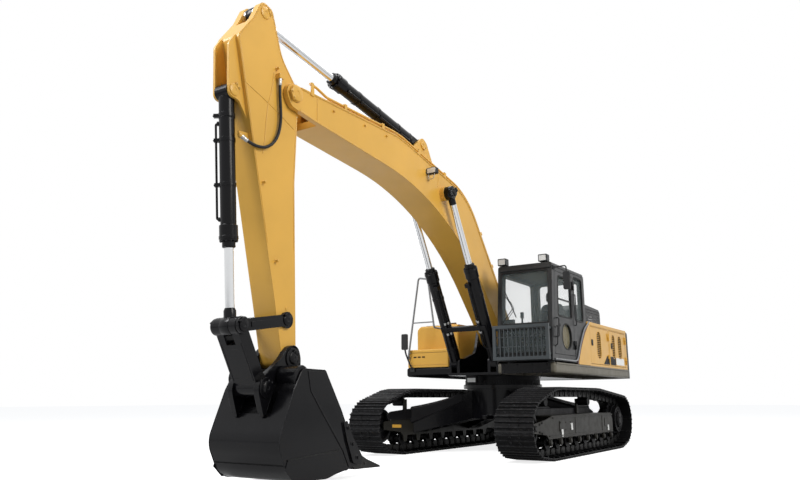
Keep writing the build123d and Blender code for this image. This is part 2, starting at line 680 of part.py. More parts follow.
def body_frame(side):
    """Fixed bodywork of one side: walls across it, a top plate and a sill."""
    inner = HOOD_LEFT_Y + PANEL_GAP if side > 0 else -HOOD_RIGHT_Y + PANEL_GAP
    walls = cover_bulkheads(side)
    front_x = walls[0][1]
    lip = 70
    low_z, high_z = DECK_TOP_Z, COVER_TOP_Z
    wall_inner = 1100 if side > 0 else 1000
    shape = side_prism([
        (DECK_REAR_X, high_z - lip), (front_x, high_z - lip), (front_x, high_z, 40), (DECK_REAR_X, high_z),
    ], COVER_HALF_WIDTH - COVER_WALL, COVER_HALF_WIDTH)
    shape = shape + block((DECK_REAR_X, front_x), (min(inner, wall_inner), COVER_HALF_WIDTH - COVER_WALL),
                          (high_z - COVER_WALL, high_z))
    shape = shape + block((DECK_REAR_X, front_x), (COVER_HALF_WIDTH - COVER_WALL, COVER_HALF_WIDTH),
                          (low_z, low_z + 40))
    for rear, front in walls:
        shape = shape + block((rear, front), (inner if side < 0 else wall_inner, COVER_HALF_WIDTH - COVER_WALL),
                              (low_z, high_z - COVER_WALL))
        shape = shape + block((rear, front), (COVER_HALF_WIDTH - COVER_WALL, COVER_HALF_WIDTH),
                              (low_z + 40, high_z - lip))
    cut = block((DECK_REAR_X - 1, front_x + 1), (0, inner), (high_z - 2 * lip, high_z + 1))
    shape = shape - cut
    for x in hinge_places(side):
        shape = shape + hinge_leaf(x, -1)
    return shape.solid() if side > 0 else mirrored(shape.solid())


def hinge_places(side):
    """The x of each upright door hinge of a side."""
    walls = cover_bulkheads(side)
    rear_edges = [walls[1][1], walls[2][1]] if side > 0 else [walls[2][1]]
    return [edge + PANEL_GAP / 2 for edge in rear_edges]


def hinge_leaf(x, half):
    """Knuckles of a door's hinges: half -1 is the fixed side's, +1 is the door's."""
    axis_y = COVER_HALF_WIDTH + HINGE_REACH
    pieces = []
    for z in HINGE_HEIGHTS:
        low = z if half > 0 else z - HINGE_LENGTH - PIN_GAP
        pieces.append(disc_z((x, axis_y), HINGE_RADIUS, low, low + HINGE_LENGTH))
        reach = (x - HINGE_LEAF, x) if half < 0 else (x, x + HINGE_LEAF)
        pieces.append(block(reach, (COVER_HALF_WIDTH - 4, axis_y), (low, low + HINGE_LENGTH)))
    return Compound(pieces)


def side_door(side, rear, front, vents):
    """Door of the side bodywork between two x, with tall rounded vent openings."""
    low_z, high_z = DECK_TOP_Z + 40 + PANEL_GAP, COVER_TOP_Z - 70 - PANEL_GAP
    shape = block((rear + PANEL_GAP, front - PANEL_GAP),
                  (COVER_HALF_WIDTH - COVER_WALL, COVER_HALF_WIDTH), (low_z, high_z))
    for x, half_width, bottom, top in vents:
        shape = shape - side_prism([
            (x - half_width, bottom, half_width * 0.96), (x + half_width, bottom, half_width * 0.96),
            (x + half_width, top, half_width * 0.96), (x - half_width, top, half_width * 0.96),
        ], COVER_HALF_WIDTH - 12, COVER_HALF_WIDTH + 1)
        slats = 7
        step = (top - bottom) / (slats + 1)
        for slat in range(slats):
            z = bottom + step * (slat + 1)
            shape = shape - block((x - half_width * 0.6, x + half_width * 0.6),
                                  (COVER_HALF_WIDTH - COVER_WALL - 1, COVER_HALF_WIDTH), (z - 10, z + 10))
    for piece in hinge_leaf(rear + PANEL_GAP / 2, 1).solids():
        shape = shape + piece
    return shape.solid() if side > 0 else mirrored(shape.solid())


def tank(front, rear, round_front):
    """Right-hand tank with a rounded upper outer edge."""
    low_y, high_y = -COVER_HALF_WIDTH, TANK_INNER_Y
    shape = prism([
        (low_y, DECK_TOP_Z), (high_y, DECK_TOP_Z), (high_y, COVER_TOP_Z), (low_y, COVER_TOP_Z, TANK_ROUND),
    ], at_yz, rear, front)
    if round_front:
        rims = [e for e in shape.edges() if abs(e.center().X - front) < 1 and e.center().Z > DECK_TOP_Z + 10]
        shape = fillet(rims, 45)
    wall = 40
    shape = shape - block((rear + wall, front - wall), (low_y + TANK_ROUND, high_y - wall),
                          (DECK_TOP_Z + wall, COVER_TOP_Z - TANK_ROUND))
    cap = disc_z(((front + rear) / 2, -900), 70, COVER_TOP_Z, COVER_TOP_Z + 45)
    shape = shape + cap
    if round_front:
        leaves = joined(level_knuckles(LID_HINGE, LID_HINGE_Y, -1, TOOLBOX_TOP_Z + PANEL_GAP))
        shape = shape + (leaves & block((front, front + 60), (low_y, high_y), (DECK_TOP_Z, COVER_TOP_Z)))
    return shape.solid()


def toolbox():
    """Low open box in front of the right-hand tank."""
    rear, front = TANK_FRONT_X + PIN_GAP, DECK_FRONT_RIGHT_X
    low_y, high_y = -1490, -640
    wall = 25
    shape = prism([
        (rear, low_y), (front, low_y, 28), (front, high_y, 20), (rear, high_y),
    ], at_xy, DECK_TOP_Z, TOOLBOX_TOP_Z - LID_THICK - PANEL_GAP)
    inside = block((rear + wall, front - wall), (low_y + wall, high_y - wall),
                   (DECK_TOP_Z + wall, TOOLBOX_TOP_Z))
    return (shape - inside).solid()


def toolbox_lid():
    """Lid of the toolbox, hinged on the tank behind it."""
    rear, front = TANK_FRONT_X + PANEL_GAP, DECK_FRONT_RIGHT_X
    low_y, high_y = -1490, -640
    shape = prism([
        (rear, low_y), (front, low_y, 28), (front, high_y, 20), (rear, high_y),
    ], at_xy, TOOLBOX_TOP_Z - LID_THICK, TOOLBOX_TOP_Z)
    rims = [e for e in shape.edges() if abs(e.center().Z - TOOLBOX_TOP_Z) < 1 and e.center().X > rear + 40]
    shape = fillet(rims, 18)
    return joined([shape, *level_knuckles(LID_HINGE, LID_HINGE_Y, 1, TOOLBOX_TOP_Z)]).solid()


def engine_hood():
    """Centre cover over the engine, with its raised louvred part."""
    front, rear = HOOD_FRONT_X, DECK_REAR_X
    low_y, high_y = HOOD_RIGHT_Y, HOOD_LEFT_Y
    low_z, high_z = COVER_TOP_Z - 30, COVER_TOP_Z + 30
    shape = block((rear + PANEL_GAP, front), (low_y, high_y), (low_z, high_z))
    raised = side_prism([
        (-2080, high_z), (-1060, high_z), (-1060, 2560, 50), (-1150, 2640, 50), (-2010, 2610, 50), (-2080, 2540, 40),
    ], 420, 1200)
    shape = shape + raised
    shape = shape - block((-2050, -1100), (450, 1170), (low_z - 1, 2500))
    shape = shape - block((rear + 60, front - 40), (low_y + 40, 420), (low_z - 1, high_z - 12))
    for row in range(5):
        z = high_z + 60 + row * 55
        shape = shape - block((-2040, -1120), (1170, 1201), (z, z + 26))
        shape = shape - block((-2081, -2050), (480, 1140), (z, z + 26))
    return joined([shape, *level_knuckles(HOOD_HINGE, HOOD_HINGE_Y, 1, high_z)]).solid()


def engine_parts():
    """Heavy masses inside: the engine, the pumps and the cooler, as plain blocks."""
    return block((-2450, -1250), (-520, 520), (DECK_LOW_Z + 40, 2050))


def house():
    """The slewing house without its cab."""
    keep("revolving_frame", revolving_frame())
    keep("deck_left", deck(1))
    keep("deck_right", deck(-1))
    keep("counterweight", counterweight())
    keep("engine_block", engine_parts())
    keep("body_frame_left", body_frame(1))
    keep("body_frame_right", body_frame(-1))
    left = cover_bulkheads(1)
    keep("side_door_front", side_door(1, left[1][1], left[0][0], ((-950, 115, 1600, 2090),)))
    keep("side_door_rear", side_door(1, left[2][1], left[1][0],
                                     ((-1830, 90, 1640, 2090), (-2240, 110, 1640, 2090))))
    right = cover_bulkheads(-1)
    keep("side_door_right", side_door(-1, right[2][1], right[1][0], ((-2200, 110, 1600, 2060),)))
    keep("fuel_tank", tank(TANK_FRONT_X, TANK_SPLIT_X, True))
    keep("hydraulic_tank", tank(TANK_SPLIT_X - PANEL_GAP / 6, TANK_REAR_X, False))
    keep("toolbox", toolbox())
    keep("toolbox_lid", toolbox_lid())
    keep("engine_hood", engine_hood())


def cab_front_x(z):
    """The cab's leaning front face at a height."""
    share = (z - CAB_FLOOR_Z) / (CAB_ROOF_Z - CAB_FLOOR_Z)
    return CAB_FRONT_LOW_X + (CAB_FRONT_HIGH_X - CAB_FRONT_LOW_X) * share


def front_panel(y, z, rear_shift, front_shift):
    """Slab in the cab's leaning front between y and z limits, set back by the shifts."""
    low, high = z
    return side_prism([
        (cab_front_x(low) - rear_shift, low), (cab_front_x(low) - front_shift, low),
        (cab_front_x(high) - front_shift, high), (cab_front_x(high) - rear_shift, high),
    ], *y)


def cab_front():
    """Front frame: two posts, a head rail and a cross rail, open for two panes."""
    low_z, high_z = CAB_FLOOR_Z + FLOOR_THICK, CAB_ROOF_Z - ROOF_THICK
    shape = front_panel((CAB_RIGHT_Y, CAB_LEFT_Y), (low_z, high_z), CAB_WALL, 0)
    post = 62
    for low, high in ((low_z + 60, CAB_RAIL_Z - 40), (CAB_RAIL_Z + 40, high_z - 50)):
        opening = front_panel((CAB_RIGHT_Y + post, CAB_LEFT_Y - post), (low, high),
                              CAB_WALL + 1, -1)
        shape = shape - opening
    return shape.solid()


def side_window(x, z, y, lean=0):
    """Rounded window opening through a side wall."""
    (rear, front), (low, high) = x, z
    return side_prism([
        (rear, low, 60), (front, low, 60), (front - lean, high, 60), (rear, high, 60),
    ], *y)


def cab_left():
    """Left wall: the piece behind the door, the front post and the rail over the door."""
    low_z, high_z = CAB_FLOOR_Z + FLOOR_THICK, CAB_ROOF_Z - ROOF_THICK
    y = (CAB_LEFT_Y - CAB_WALL, CAB_LEFT_Y)
    rear_x = CAB_REAR_X + CAB_WALL
    wall = block((rear_x, DOOR_REAR_X - PANEL_GAP), y, (low_z, high_z))
    wall = wall - side_window(REAR_WINDOW_X, WINDOW_Z, (y[0] - 1, y[1] + 1))
    rail = side_prism([
        (DOOR_REAR_X - PANEL_GAP, high_z - 60), (cab_front_x(high_z - 60) - CAB_WALL, high_z - 60),
        (cab_front_x(high_z) - CAB_WALL, high_z), (DOOR_REAR_X - PANEL_GAP, high_z),
    ], *y)
    sill = side_prism([
        (DOOR_REAR_X - PANEL_GAP, low_z), (cab_front_x(low_z) - CAB_WALL, low_z),
        (cab_front_x(low_z + 40) - CAB_WALL, low_z + 40), (DOOR_REAR_X - PANEL_GAP, low_z + 40),
    ], *y)
    post = side_prism([
        (door_front_x(low_z) + PANEL_GAP, low_z), (cab_front_x(low_z) - CAB_WALL, low_z),
        (cab_front_x(high_z) - CAB_WALL, high_z), (door_front_x(high_z) + PANEL_GAP, high_z),
    ], *y)
    shape = joined([wall, rail, sill, post])
    for z in CAB_HINGE_Z:
        shape = shape + door_knuckle(z - CAB_HINGE_LENGTH - PIN_GAP, -1)
    return shape.solid()


def door_knuckle(low, half):
    """One knuckle of the cab door's hinge with its leaf: half -1 is the cab's."""
    axis_y = CAB_LEFT_Y + CAB_HINGE_REACH
    shape = disc_z((CAB_HINGE_X, axis_y), HINGE_RADIUS, low, low + CAB_HINGE_LENGTH)
    reach = (CAB_HINGE_X - 46, CAB_HINGE_X) if half < 0 else (CAB_HINGE_X, CAB_HINGE_X + 46)
    return shape + block(reach, (CAB_LEFT_Y - 4, axis_y), (low, low + CAB_HINGE_LENGTH))


def door_front_x(z):
    """Front edge of the cab's door at a height."""
    return cab_front_x(z) - CAB_WALL - 55


def door_window(row, grow, y):
    """One window of the door, as an opening or as its pane."""
    rear, front, low, high, radius, lean = row
    return side_prism([
        (rear - grow, low - grow, radius), (front + grow, low - grow, radius),
        (front + grow - lean, high + grow, radius), (rear - grow, high + grow, radius),
    ], *y)


def cab_door():
    """Door of the cab with its split upper window and tall oval lower window."""
    y = (CAB_LEFT_Y - DOOR_THICK, CAB_LEFT_Y)
    low_z, high_z = DOOR_LOW_Z, DOOR_HIGH_Z
    shape = side_prism([
        (DOOR_REAR_X, low_z, 30), (door_front_x(low_z), low_z, 30),
        (door_front_x(high_z), high_z, 30), (DOOR_REAR_X, high_z, 30),
    ], *y)
    for row in DOOR_WINDOWS:
        shape = shape - door_window(row, 0, (y[0] - 1, y[1] + 1))
    bar_z = DOOR_SPLIT_Z + 330
    shape = shape + block((DOOR_WINDOWS[0][0] - 5, DOOR_WINDOWS[0][1] - 5), (y[1] - 30, y[1] - 12),
                          (bar_z - 12, bar_z + 12))
    for z in CAB_HINGE_Z:
        shape = shape + door_knuckle(z, 1)
    handle = tube([(door_front_x(1900) - 50, y[1] - 4, 1850), (door_front_x(1900) - 50, y[1] + 45, 1850),
                   (door_front_x(2150) - 50, y[1] + 45, 2150), (door_front_x(2150) - 50, y[1] - 4, 2150)], 10, 25)
    return (shape + handle).solid()


def door_panes():
    """Glass of the door's two windows, inside the upper one's bar."""
    outside = CAB_LEFT_Y - DOOR_THICK / 2 - 10
    return [door_window(row, -PIN_GAP, (outside - GLASS_THICK, outside)) for row in DOOR_WINDOWS]


def cab_right():
    """Right wall with its long window."""
    low_z, high_z = CAB_FLOOR_Z + FLOOR_THICK, CAB_ROOF_Z - ROOF_THICK
    y = (CAB_RIGHT_Y, CAB_RIGHT_Y + CAB_WALL)
    shape = side_prism([
        (CAB_REAR_X + CAB_WALL, low_z), (cab_front_x(low_z) - CAB_WALL, low_z),
        (cab_front_x(high_z) - CAB_WALL, high_z), (CAB_REAR_X + CAB_WALL, high_z),
    ], *y)
    return (shape - side_window(RIGHT_WINDOW_X, RIGHT_WINDOW_Z, (y[0] - 1, y[1] + 1), 90)).solid()


def cab_rear():
    """Rear wall with its window."""
    low_z, high_z = CAB_FLOOR_Z + FLOOR_THICK, CAB_ROOF_Z - ROOF_THICK
    shape = block((CAB_REAR_X, CAB_REAR_X + CAB_WALL), (CAB_RIGHT_Y, CAB_LEFT_Y), (low_z, high_z))
    (low_y, high_y), (low, high) = BACK_WINDOW_Y, BACK_WINDOW_Z
    opening = prism([(low_y, low, 60), (high_y, low, 60), (high_y, high, 60), (low_y, high, 60)],
                    at_yz, CAB_REAR_X - 1, CAB_REAR_X + CAB_WALL + 1)
    return (shape - opening).solid()


def cab_roof():
    """Roof with rounded upper edges."""
    low_z, high_z = CAB_ROOF_Z - ROOF_THICK, CAB_ROOF_Z
    shape = side_prism([
        (CAB_REAR_X, low_z), (cab_front_x(low_z), low_z), (cab_front_x(high_z), high_z), (CAB_REAR_X, high_z, 40),
    ], CAB_RIGHT_Y, CAB_LEFT_Y)
    rims = shape.edges().filter_by(Axis.X).group_by(Axis.Z)[-1]
    return fillet(rims, 38).solid()


def cab_floor():
    """Floor plate on its rubber feet."""
    low_z, high_z = CAB_FLOOR_Z, CAB_FLOOR_Z + FLOOR_THICK
    shape = side_prism([
        (CAB_REAR_X, low_z), (cab_front_x(low_z), low_z), (cab_front_x(high_z), high_z), (CAB_REAR_X, high_z),
    ], CAB_RIGHT_Y, CAB_LEFT_Y)
    foot_r = 60
    for x in (CAB_REAR_X + 200, DECK_FRONT_LEFT_X - 160):
        for y in (CAB_RIGHT_Y + 130, CAB_LEFT_Y - 130):
            shape = shape + disc_z((x, y), foot_r, DECK_TOP_Z, low_z)
    return shape.solid()


def cab_panes():
    """Fixed glass: windscreen, lower front, right, rear and left rear panes."""
    post, seat = 62, PIN_GAP
    low_z, high_z = CAB_FLOOR_Z + FLOOR_THICK, CAB_ROOF_Z - ROOF_THICK
    panes = []
    for low, high in ((low_z + 60, CAB_RAIL_Z - 40), (CAB_RAIL_Z + 40, high_z - 50)):
        y = (CAB_RIGHT_Y + post + seat, CAB_LEFT_Y - post - seat)
        panes.append(front_panel(y, (low + seat, high - seat), 20 + GLASS_THICK, 20))
    y = (CAB_RIGHT_Y + 25, CAB_RIGHT_Y + 25 + GLASS_THICK)
    x = (RIGHT_WINDOW_X[0] + seat, RIGHT_WINDOW_X[1] - seat)
    panes.append(side_window(x, (RIGHT_WINDOW_Z[0] + seat, RIGHT_WINDOW_Z[1] - seat), y, 90))
    y = (CAB_LEFT_Y - 25 - GLASS_THICK, CAB_LEFT_Y - 25)
    x = (REAR_WINDOW_X[0] + seat, REAR_WINDOW_X[1] - seat)
    panes.append(side_window(x, (WINDOW_Z[0] + seat, WINDOW_Z[1] - seat), y))
    (low_y, high_y), (low, high) = BACK_WINDOW_Y, BACK_WINDOW_Z
    panes.append(prism([
        (low_y + seat, low + seat, 60), (high_y - seat, low + seat, 60),
        (high_y - seat, high - seat, 60), (low_y + seat, high - seat, 60),
    ], at_yz, CAB_REAR_X + 25, CAB_REAR_X + 25 + GLASS_THICK))
    return panes


def seat_and_consoles():
    """Operator's seat on its base, and the two side consoles with their levers."""
    middle = (CAB_LEFT_Y + CAB_RIGHT_Y) / 2
    floor_z = CAB_FLOOR_Z + FLOOR_THICK
    base = block((150, 600), (middle - 200, middle + 200), (floor_z, floor_z + 330))
    cushion_z = floor_z + 330
    seat = side_prism([
        (120, cushion_z, 30), (680, cushion_z, 30), (690, cushion_z + 130, 50), (250, cushion_z + 110, 60),
        (130, cushion_z + 700, 60), (10, cushion_z + 690, 60), (120, cushion_z + 60, 60),
    ], middle - 240, middle + 240)
    head = block((30, 110), (middle - 120, middle + 120), (cushion_z + 660, cushion_z + 880))
    console = []
    for side in (-1, 1):
        near, far = middle + side * 250, middle + side * 345
        box = side_prism([
            (150, floor_z + 300, 30), (780, floor_z + 300, 60), (800, floor_z + 560, 50), (200, floor_z + 540, 50),
        ], min(near, far), max(near, far))
        leg = block((250, 450), (min(near, far), max(near, far)), (floor_z, floor_z + 320))
        lever = disc_z((735, (near + far) / 2), 16, floor_z + 540, floor_z + 740)
        knob = disc_z((735, (near + far) / 2), 30, floor_z + 690, floor_z + 790)
        console.append(joined([box, leg, lever, knob]).solid())
    keep("operator_seat", (seat + head).solid())
    keep("control_consoles", base.solid(), *console)


def cab_guard():
    """Frame of upright bars in front of the lower windscreen."""
    low_z, high_z = CAB_FLOOR_Z + 10, CAB_RAIL_Z + 10
    y0, y1 = CAB_RIGHT_Y - 10, CAB_LEFT_Y
    rear, front = GUARD_FRONT_X - 46, GUARD_FRONT_X
    bar = 52
    shape = block((rear, front), (y0, y1), (low_z, high_z))
    shape = shape - block((rear - 1, front + 1), (y0 + bar, y1 - bar), (low_z + bar, high_z - bar))
    count = 11
    step = (y1 - y0 - 2 * bar) / (count + 1)
    for i in range(count):
        y = y0 + bar + step * (i + 1)
        shape = shape + block((rear + 10, front - 12), (y - 8, y + 8), (low_z + bar - 2, high_z - bar + 2))
    for share in (0.38, 0.66):
        z = low_z + share * (high_z - low_z)
        shape = shape + block((rear + 6, rear + 14), (y0 + bar - 2, y1 - bar + 2), (z - 8, z + 8))
    for y in (y0 + 40, y1 - 40):
        for z in (low_z + 90, high_z - 60):
            shape = shape + block((cab_front_x(z) - 2, rear + 2), (y - 16, y + 16), (z - 16, z + 16))
            shape = shape - front_panel((y - 17, y + 17), (z - 40, z + 40), CAB_WALL, -PIN_GAP)
    return shape.solid()


def work_lamps():
    """Two square lamps on brackets at the front edge of the cab's roof."""
    solids = []
    for y in (CAB_RIGHT_Y + 60, CAB_LEFT_Y - 160):
        foot = block((1110, 1180), (y - 25, y + 25), (CAB_ROOF_Z, CAB_ROOF_Z + 30))
        body = prism([
            (y - 75, CAB_ROOF_Z + 22, 12), (y + 75, CAB_ROOF_Z + 22, 12),
            (y + 75, CAB_ROOF_Z + 142, 12), (y - 75, CAB_ROOF_Z + 142, 12),
        ], at_yz, 1120, 1230)
        solids.append((foot + body).solid())
    return solids


def hand_rail():
    """Leaning hand rail in front of the toolbox, with its cross bar."""
    x = DECK_FRONT_RIGHT_X + 50
    rail = tube([
        (DECK_FRONT_RIGHT_X, -1442, 1620), (x, -1442, 1620), (x, -1210, 3080), (x, -1010, 3045),
        (x, -890, 2150), (TANK_FRONT_X, -890, 2150),
    ], 17, 45)
    cross = disc_y((x, 2255), 12, -1341, -904)
    keep("hand_rail_right", (rail + cross).solid())


def mirror_head(x, y, low_z, width, height):
    """Rounded case of a mirror that faces rearwards, centred on y."""
    half = width / 2
    return prism([
        (y - half, low_z, 24), (y + half, low_z, 24), (y + half, low_z + height, 24), (y - half, low_z + height, 24),
    ], at_yz, x, x + MIRROR_THICK)


def mirrors():
    """Left mirror on an arm from the cab's side and right mirror on a stalk from the deck's front."""
    y, z = 1755, CAB_ROOF_Z - 90
    x = 1236
    foot = block((x - 70, x + 10), (CAB_LEFT_Y + PIN_GAP, CAB_LEFT_Y + 24), (z - 30, z + 30))
    arm_bar = tube([(x - 30, CAB_LEFT_Y + 12, z), (x + 17, y, z), (x + 17, y, z - 120)], 11, 40)
    left = joined([foot, arm_bar, mirror_head(x, y, 2577, 110, 286)])
    front = DECK_FRONT_RIGHT_X + PIN_GAP
    base = block((front, front + 26), (-1420, -1330), (1376, 1446))
    stalk = tube([
        (front + 12, -1375, 1412), (front + 62, -1400, 1500), (930, -1474, 1690), (940, -1496, 1800),
    ], 15, 60)
    right = joined([base, stalk, mirror_head(923, -1496, 1773, 124, 286)])
    keep("mirrors", left.solid(), right.solid())


def cab():
    """The hollow cab, its glass, its seat and what is fixed to its outside."""
    keep("cab_floor", cab_floor())
    keep("cab_front", cab_front())
    keep("cab_left", cab_left())
    keep("cab_right", cab_right())
    keep("cab_rear", cab_rear())
    keep("cab_roof", cab_roof())
    keep("cab_door", cab_door())
    keep("cab_door_glass", *door_panes())
    keep("cab_glass", *cab_panes())
    seat_and_consoles()
    keep("cab_guard", cab_guard())
    keep("work_lamps", *work_lamps())
    mirrors()


def boom_outline():
    """Corners of the boom seen from the side, from its foot along the belly and back."""
    foot_x, foot_z = BOOM_FOOT
    nose_x, nose_z = BOOM_NOSE
    return [
        (foot_x + 40, foot_z - 190, 60), (2377, 3973, 4700), (nose_x - 330, nose_z - 230, 300),
        (nose_x + 60, nose_z - 178, 100), (nose_x + 176, nose_z - 20, 130),
        (nose_x + 90, nose_z + 110, 120), (3750, 4645, 2000), (1671, 4231, 1300),
        (foot_x - 165, foot_z + 170, 120), (foot_x - 190, foot_z - 120, 150),
    ]


def arm_barrel_ears():
    """Pair of ears on the boom's back for the arm cylinder's foot."""
    x, z = ARM_BARREL_PIN
    inner = EYE_WIDTH / 2 + 25 + PIN_GAP
    ear = side_prism([
        (x - 420, z - 420), (x + 430, z - 240), (x + 110, z + 40, 90), (x, z + 130, 90), (x - 120, z + 60, 90),
    ], inner, inner + 38)
    return ear, inner


def boom():
    """Hollow bent box with its foot boss, cylinder bosses, back ears and nose fork."""
    half = BOOM_HALF_WIDTH
    nose_x, nose_z = BOOM_NOSE
    profile = Face(outline(boom_outline(), at_xz, -half))
    shape = Solid.extrude(profile, Vector(0, 2 * half, 0))
    hollow_half = half - BOOM_SIDE_PLATE
    core = offset(Face(outline(boom_outline(), at_xz, -hollow_half)), amount=-BOOM_FLANGE)
    hollow = Solid.extrude(core.faces()[0], Vector(0, 2 * hollow_half, 0))
    rooms = (
        # rear x, front x of each closed room inside the box
        (BOOM_FOOT[0] + 330, BOOM_ROD_PIN[0] - 170),
        (BOOM_ROD_PIN[0] + 170, 4000),
        (4000 + BOOM_FLANGE, FORK_ROOT_X - 120),
    )
    for rear, front in rooms:
        shape = shape - (hollow & block((rear, front), (-half, half), (nose_z - 3 * FAR, nose_z + FAR)))
    shape = shape - block((FORK_ROOT_X, nose_x + FAR), (-FORK_HALF_INNER, FORK_HALF_INNER),
                          (nose_z - FAR, nose_z + FAR))
    shape = shape - disc_y((FORK_ROOT_X, nose_z), 150, -FORK_HALF_INNER, FORK_HALF_INNER)
    for side in (-1, 1):
        low, high = sorted((side * half, side * (half + 22)))
        shape = shape + disc_y(BOOM_NOSE, 105, low, high)
        low, high = sorted((side * half, side * (BOOM_CYLINDER_Y - EYE_WIDTH / 2 - PIN_GAP)))
        shape = shape + disc_y(BOOM_ROD_PIN, 112, low, high)
        low, high = sorted((side * (half - 1), side * BOOM_FOOT_HALF))
        shape = shape + disc_y(BOOM_FOOT, 165, low, high)
    shape = shape + disc_y(BOOM_NOSE, PIN_RADIUS + 5, -half, half)
    ear, inner = arm_barrel_ears()
    shape = joined([shape, ear, mirrored(ear)])
    shape = shape + disc_y(ARM_BARREL_PIN, PIN_RADIUS, -inner - 38, inner + 38)
    shape = shape - disc_y(BOOM_FOOT, PIN_RADIUS + 12 + PIN_GAP, -BOOM_FOOT_HALF - 1, BOOM_FOOT_HALF + 1)
    return shape.solid()


def arm():
    """Hollow tapered box with its nose boss, tail ear, cylinder brackets and tip boss."""
    half = ARM_HALF_WIDTH
    tip_x, tip_z = ARM_TIP
    tail_x, tail_z = ARM_ROD_PIN
    nose_x, nose_z = BOOM_NOSE
    corners = [
        (tip_x - 112, tip_z - 112, 100), (tip_x + 98, tip_z - 112, 90), (6172, 1890), (6925, 4870, 90),
        (6700, 5190, 80), (tail_x + 60, tail_z + 140, 90), (tail_x - 120, tail_z + 90, 90),
        (6210, 4880, 500), (nose_x - 130, nose_z + 80, 120), (5925, 3390, 900),
    ]
    shape = side_prism(corners, -half, half)
    core = offset(Face(outline(corners, at_xz, -half + ARM_PLATE)), amount=-BOOM_FLANGE)
    hollow = Solid.extrude(core.faces()[0], Vector(0, 2 * (half - ARM_PLATE), 0))
    rooms = (
        # low z, high z of each closed room inside the box
        (ROCKER_PIN[1] + 130, 2950),
        (2950 + ARM_PLATE, nose_z - 190),
        (nose_z + 180, tail_z - 230),
    )
    for low, high in rooms:
        shape = shape - (hollow & block((tip_x - FAR, nose_x + FAR), (-half, half), (low, high)))
    gap = EYE_WIDTH / 2 + 25 + PIN_GAP
    shape = shape - block((tip_x - FAR, tail_x + FAR), (-gap, gap), (tail_z - 190, tail_z + FAR))
    inner = HEAD_EYE_HALF + PIN_GAP
    head_x, head_z = BUCKET_BARREL_PIN
    bracket = side_prism([
        (6560, 3780), (head_x - 70, head_z - 92, 60), (head_x + 75, head_z - 80, 70),
        (head_x + 112, head_z + 520, 60), (head_x + 30, head_z + 660, 60), (6800, 4900),
    ], inner, inner + 32)
    shape = joined([shape, bracket, mirrored(bracket)])
    shape = joined([shape] + hose_seats())
    shape = shape + disc_y(BUCKET_BARREL_PIN, PIN_RADIUS, -inner, inner)
    boss_half = FORK_HALF_INNER - PIN_GAP
    shape = shape + disc_y(BOOM_NOSE, 140, -boss_half, boss_half)
    shape = shape - disc_y(BOOM_NOSE, PIN_RADIUS + 5 + PIN_GAP, -boss_half - 1, boss_half + 1)
    shape = shape - disc_y(ARM_TIP, PIN_RADIUS + PIN_GAP, -half - 1, half + 1)
    shape = shape + disc_y(ROCKER_PIN, PIN_RADIUS, -ROCKER_OUTER, ROCKER_OUTER)
    return shape.solid()


def toward(start, end):
    """Direction from one pivot to another, and their distance."""
    step = Vector(end[0] - start[0], 0, end[1] - start[1])
    return step.normalized(), step.length


def along_disc(start, direction, radius, low, high):
    """Cylinder along a direction in the side view, between two distances from a pivot."""
    origin = Vector(start[0], 0, start[1]) + direction * low
    return Solid.make_cylinder(radius, high - low, Plane(origin, z_dir=direction))


def barrel(name, foot, rod_pin, eye_half, bore):
    """Cylinder barrel on the centre plane: foot eye, tube, gland and bored for its rod."""
    direction, _ = toward(foot, rod_pin)
    radius, length = BARREL_RADIUS[name], BARREL_LENGTH[name]
    eye_radius = radius + 6
    shape = along_disc(foot, direction, radius, eye_radius * 0.7, length - 110)
    shape = shape + along_disc(foot, direction, radius + 14, length - 230, length - 60)
    shape = shape + along_disc(foot, direction, radius - 14, length - 60, length)
    shape = shape + disc_y(foot, eye_radius, -eye_half, eye_half)
    trim = 2 * radius
    for side in (-1, 1):
        low, high = sorted((side * eye_half, side * trim))
        shape = shape - disc_y(foot, FLAT_FOOT[name], low, high)
    shape = shape - along_disc(foot, direction, ROD_RADIUS[name] + PIN_GAP, CAP_ROOM - 100, length + 1)
    shape = shape - disc_y(foot, bore + PIN_GAP, -trim, trim)
    return shape.solid()


def rod(name, foot, rod_pin, eye_half, pin_half):
    """Piston rod on the centre plane with its eye, and the pin that the eye turns on."""
    direction, length = toward(foot, rod_pin)
    inner_end = length - CLOSED_LENGTH[name] + CAP_ROOM
    eye_radius = ROD_RADIUS[name] + 50
    neck = min(eye_radius * 0.8, eye_half - 1)
    shape = along_disc(foot, direction, ROD_RADIUS[name], inner_end, length - 20)
    shape = shape + disc_y(rod_pin, eye_radius, -eye_half, eye_half)
    shape = shape + along_disc(foot, direction, neck, length - eye_radius - 60, length - 30)
    if pin_half > eye_half:
        shape = shape + disc_y(rod_pin, PIN_RADIUS, -pin_half, pin_half)
    return shape.solid()


def boom_cylinders():
    """The two barrels and the two rods that raise the boom."""
    barrels, rods = [], []
    one = barrel("boom", BOOM_BARREL_PIN, BOOM_ROD_PIN, EYE_WIDTH / 2, PIN_RADIUS)
    two = rod("boom", BOOM_BARREL_PIN, BOOM_ROD_PIN, EYE_WIDTH / 2, EYE_WIDTH / 2 + 30)
    for side in (1, -1):
        barrels.append(Pos(0, side * BOOM_CYLINDER_Y, 0) * one)
        rods.append(Pos(0, side * BOOM_CYLINDER_Y, 0) * two)
    trimmed = []
    for side, piece in zip((1, -1), rods):
        inner_y = side * (BOOM_CYLINDER_Y - EYE_WIDTH / 2)
        low, high = sorted((inner_y, inner_y - side * 60))
        trimmed.append(piece - disc_y(BOOM_ROD_PIN, PIN_RADIUS + 10, low, high))
    keep("boom_barrels", *barrels)
    keep("boom_rods", *trimmed)


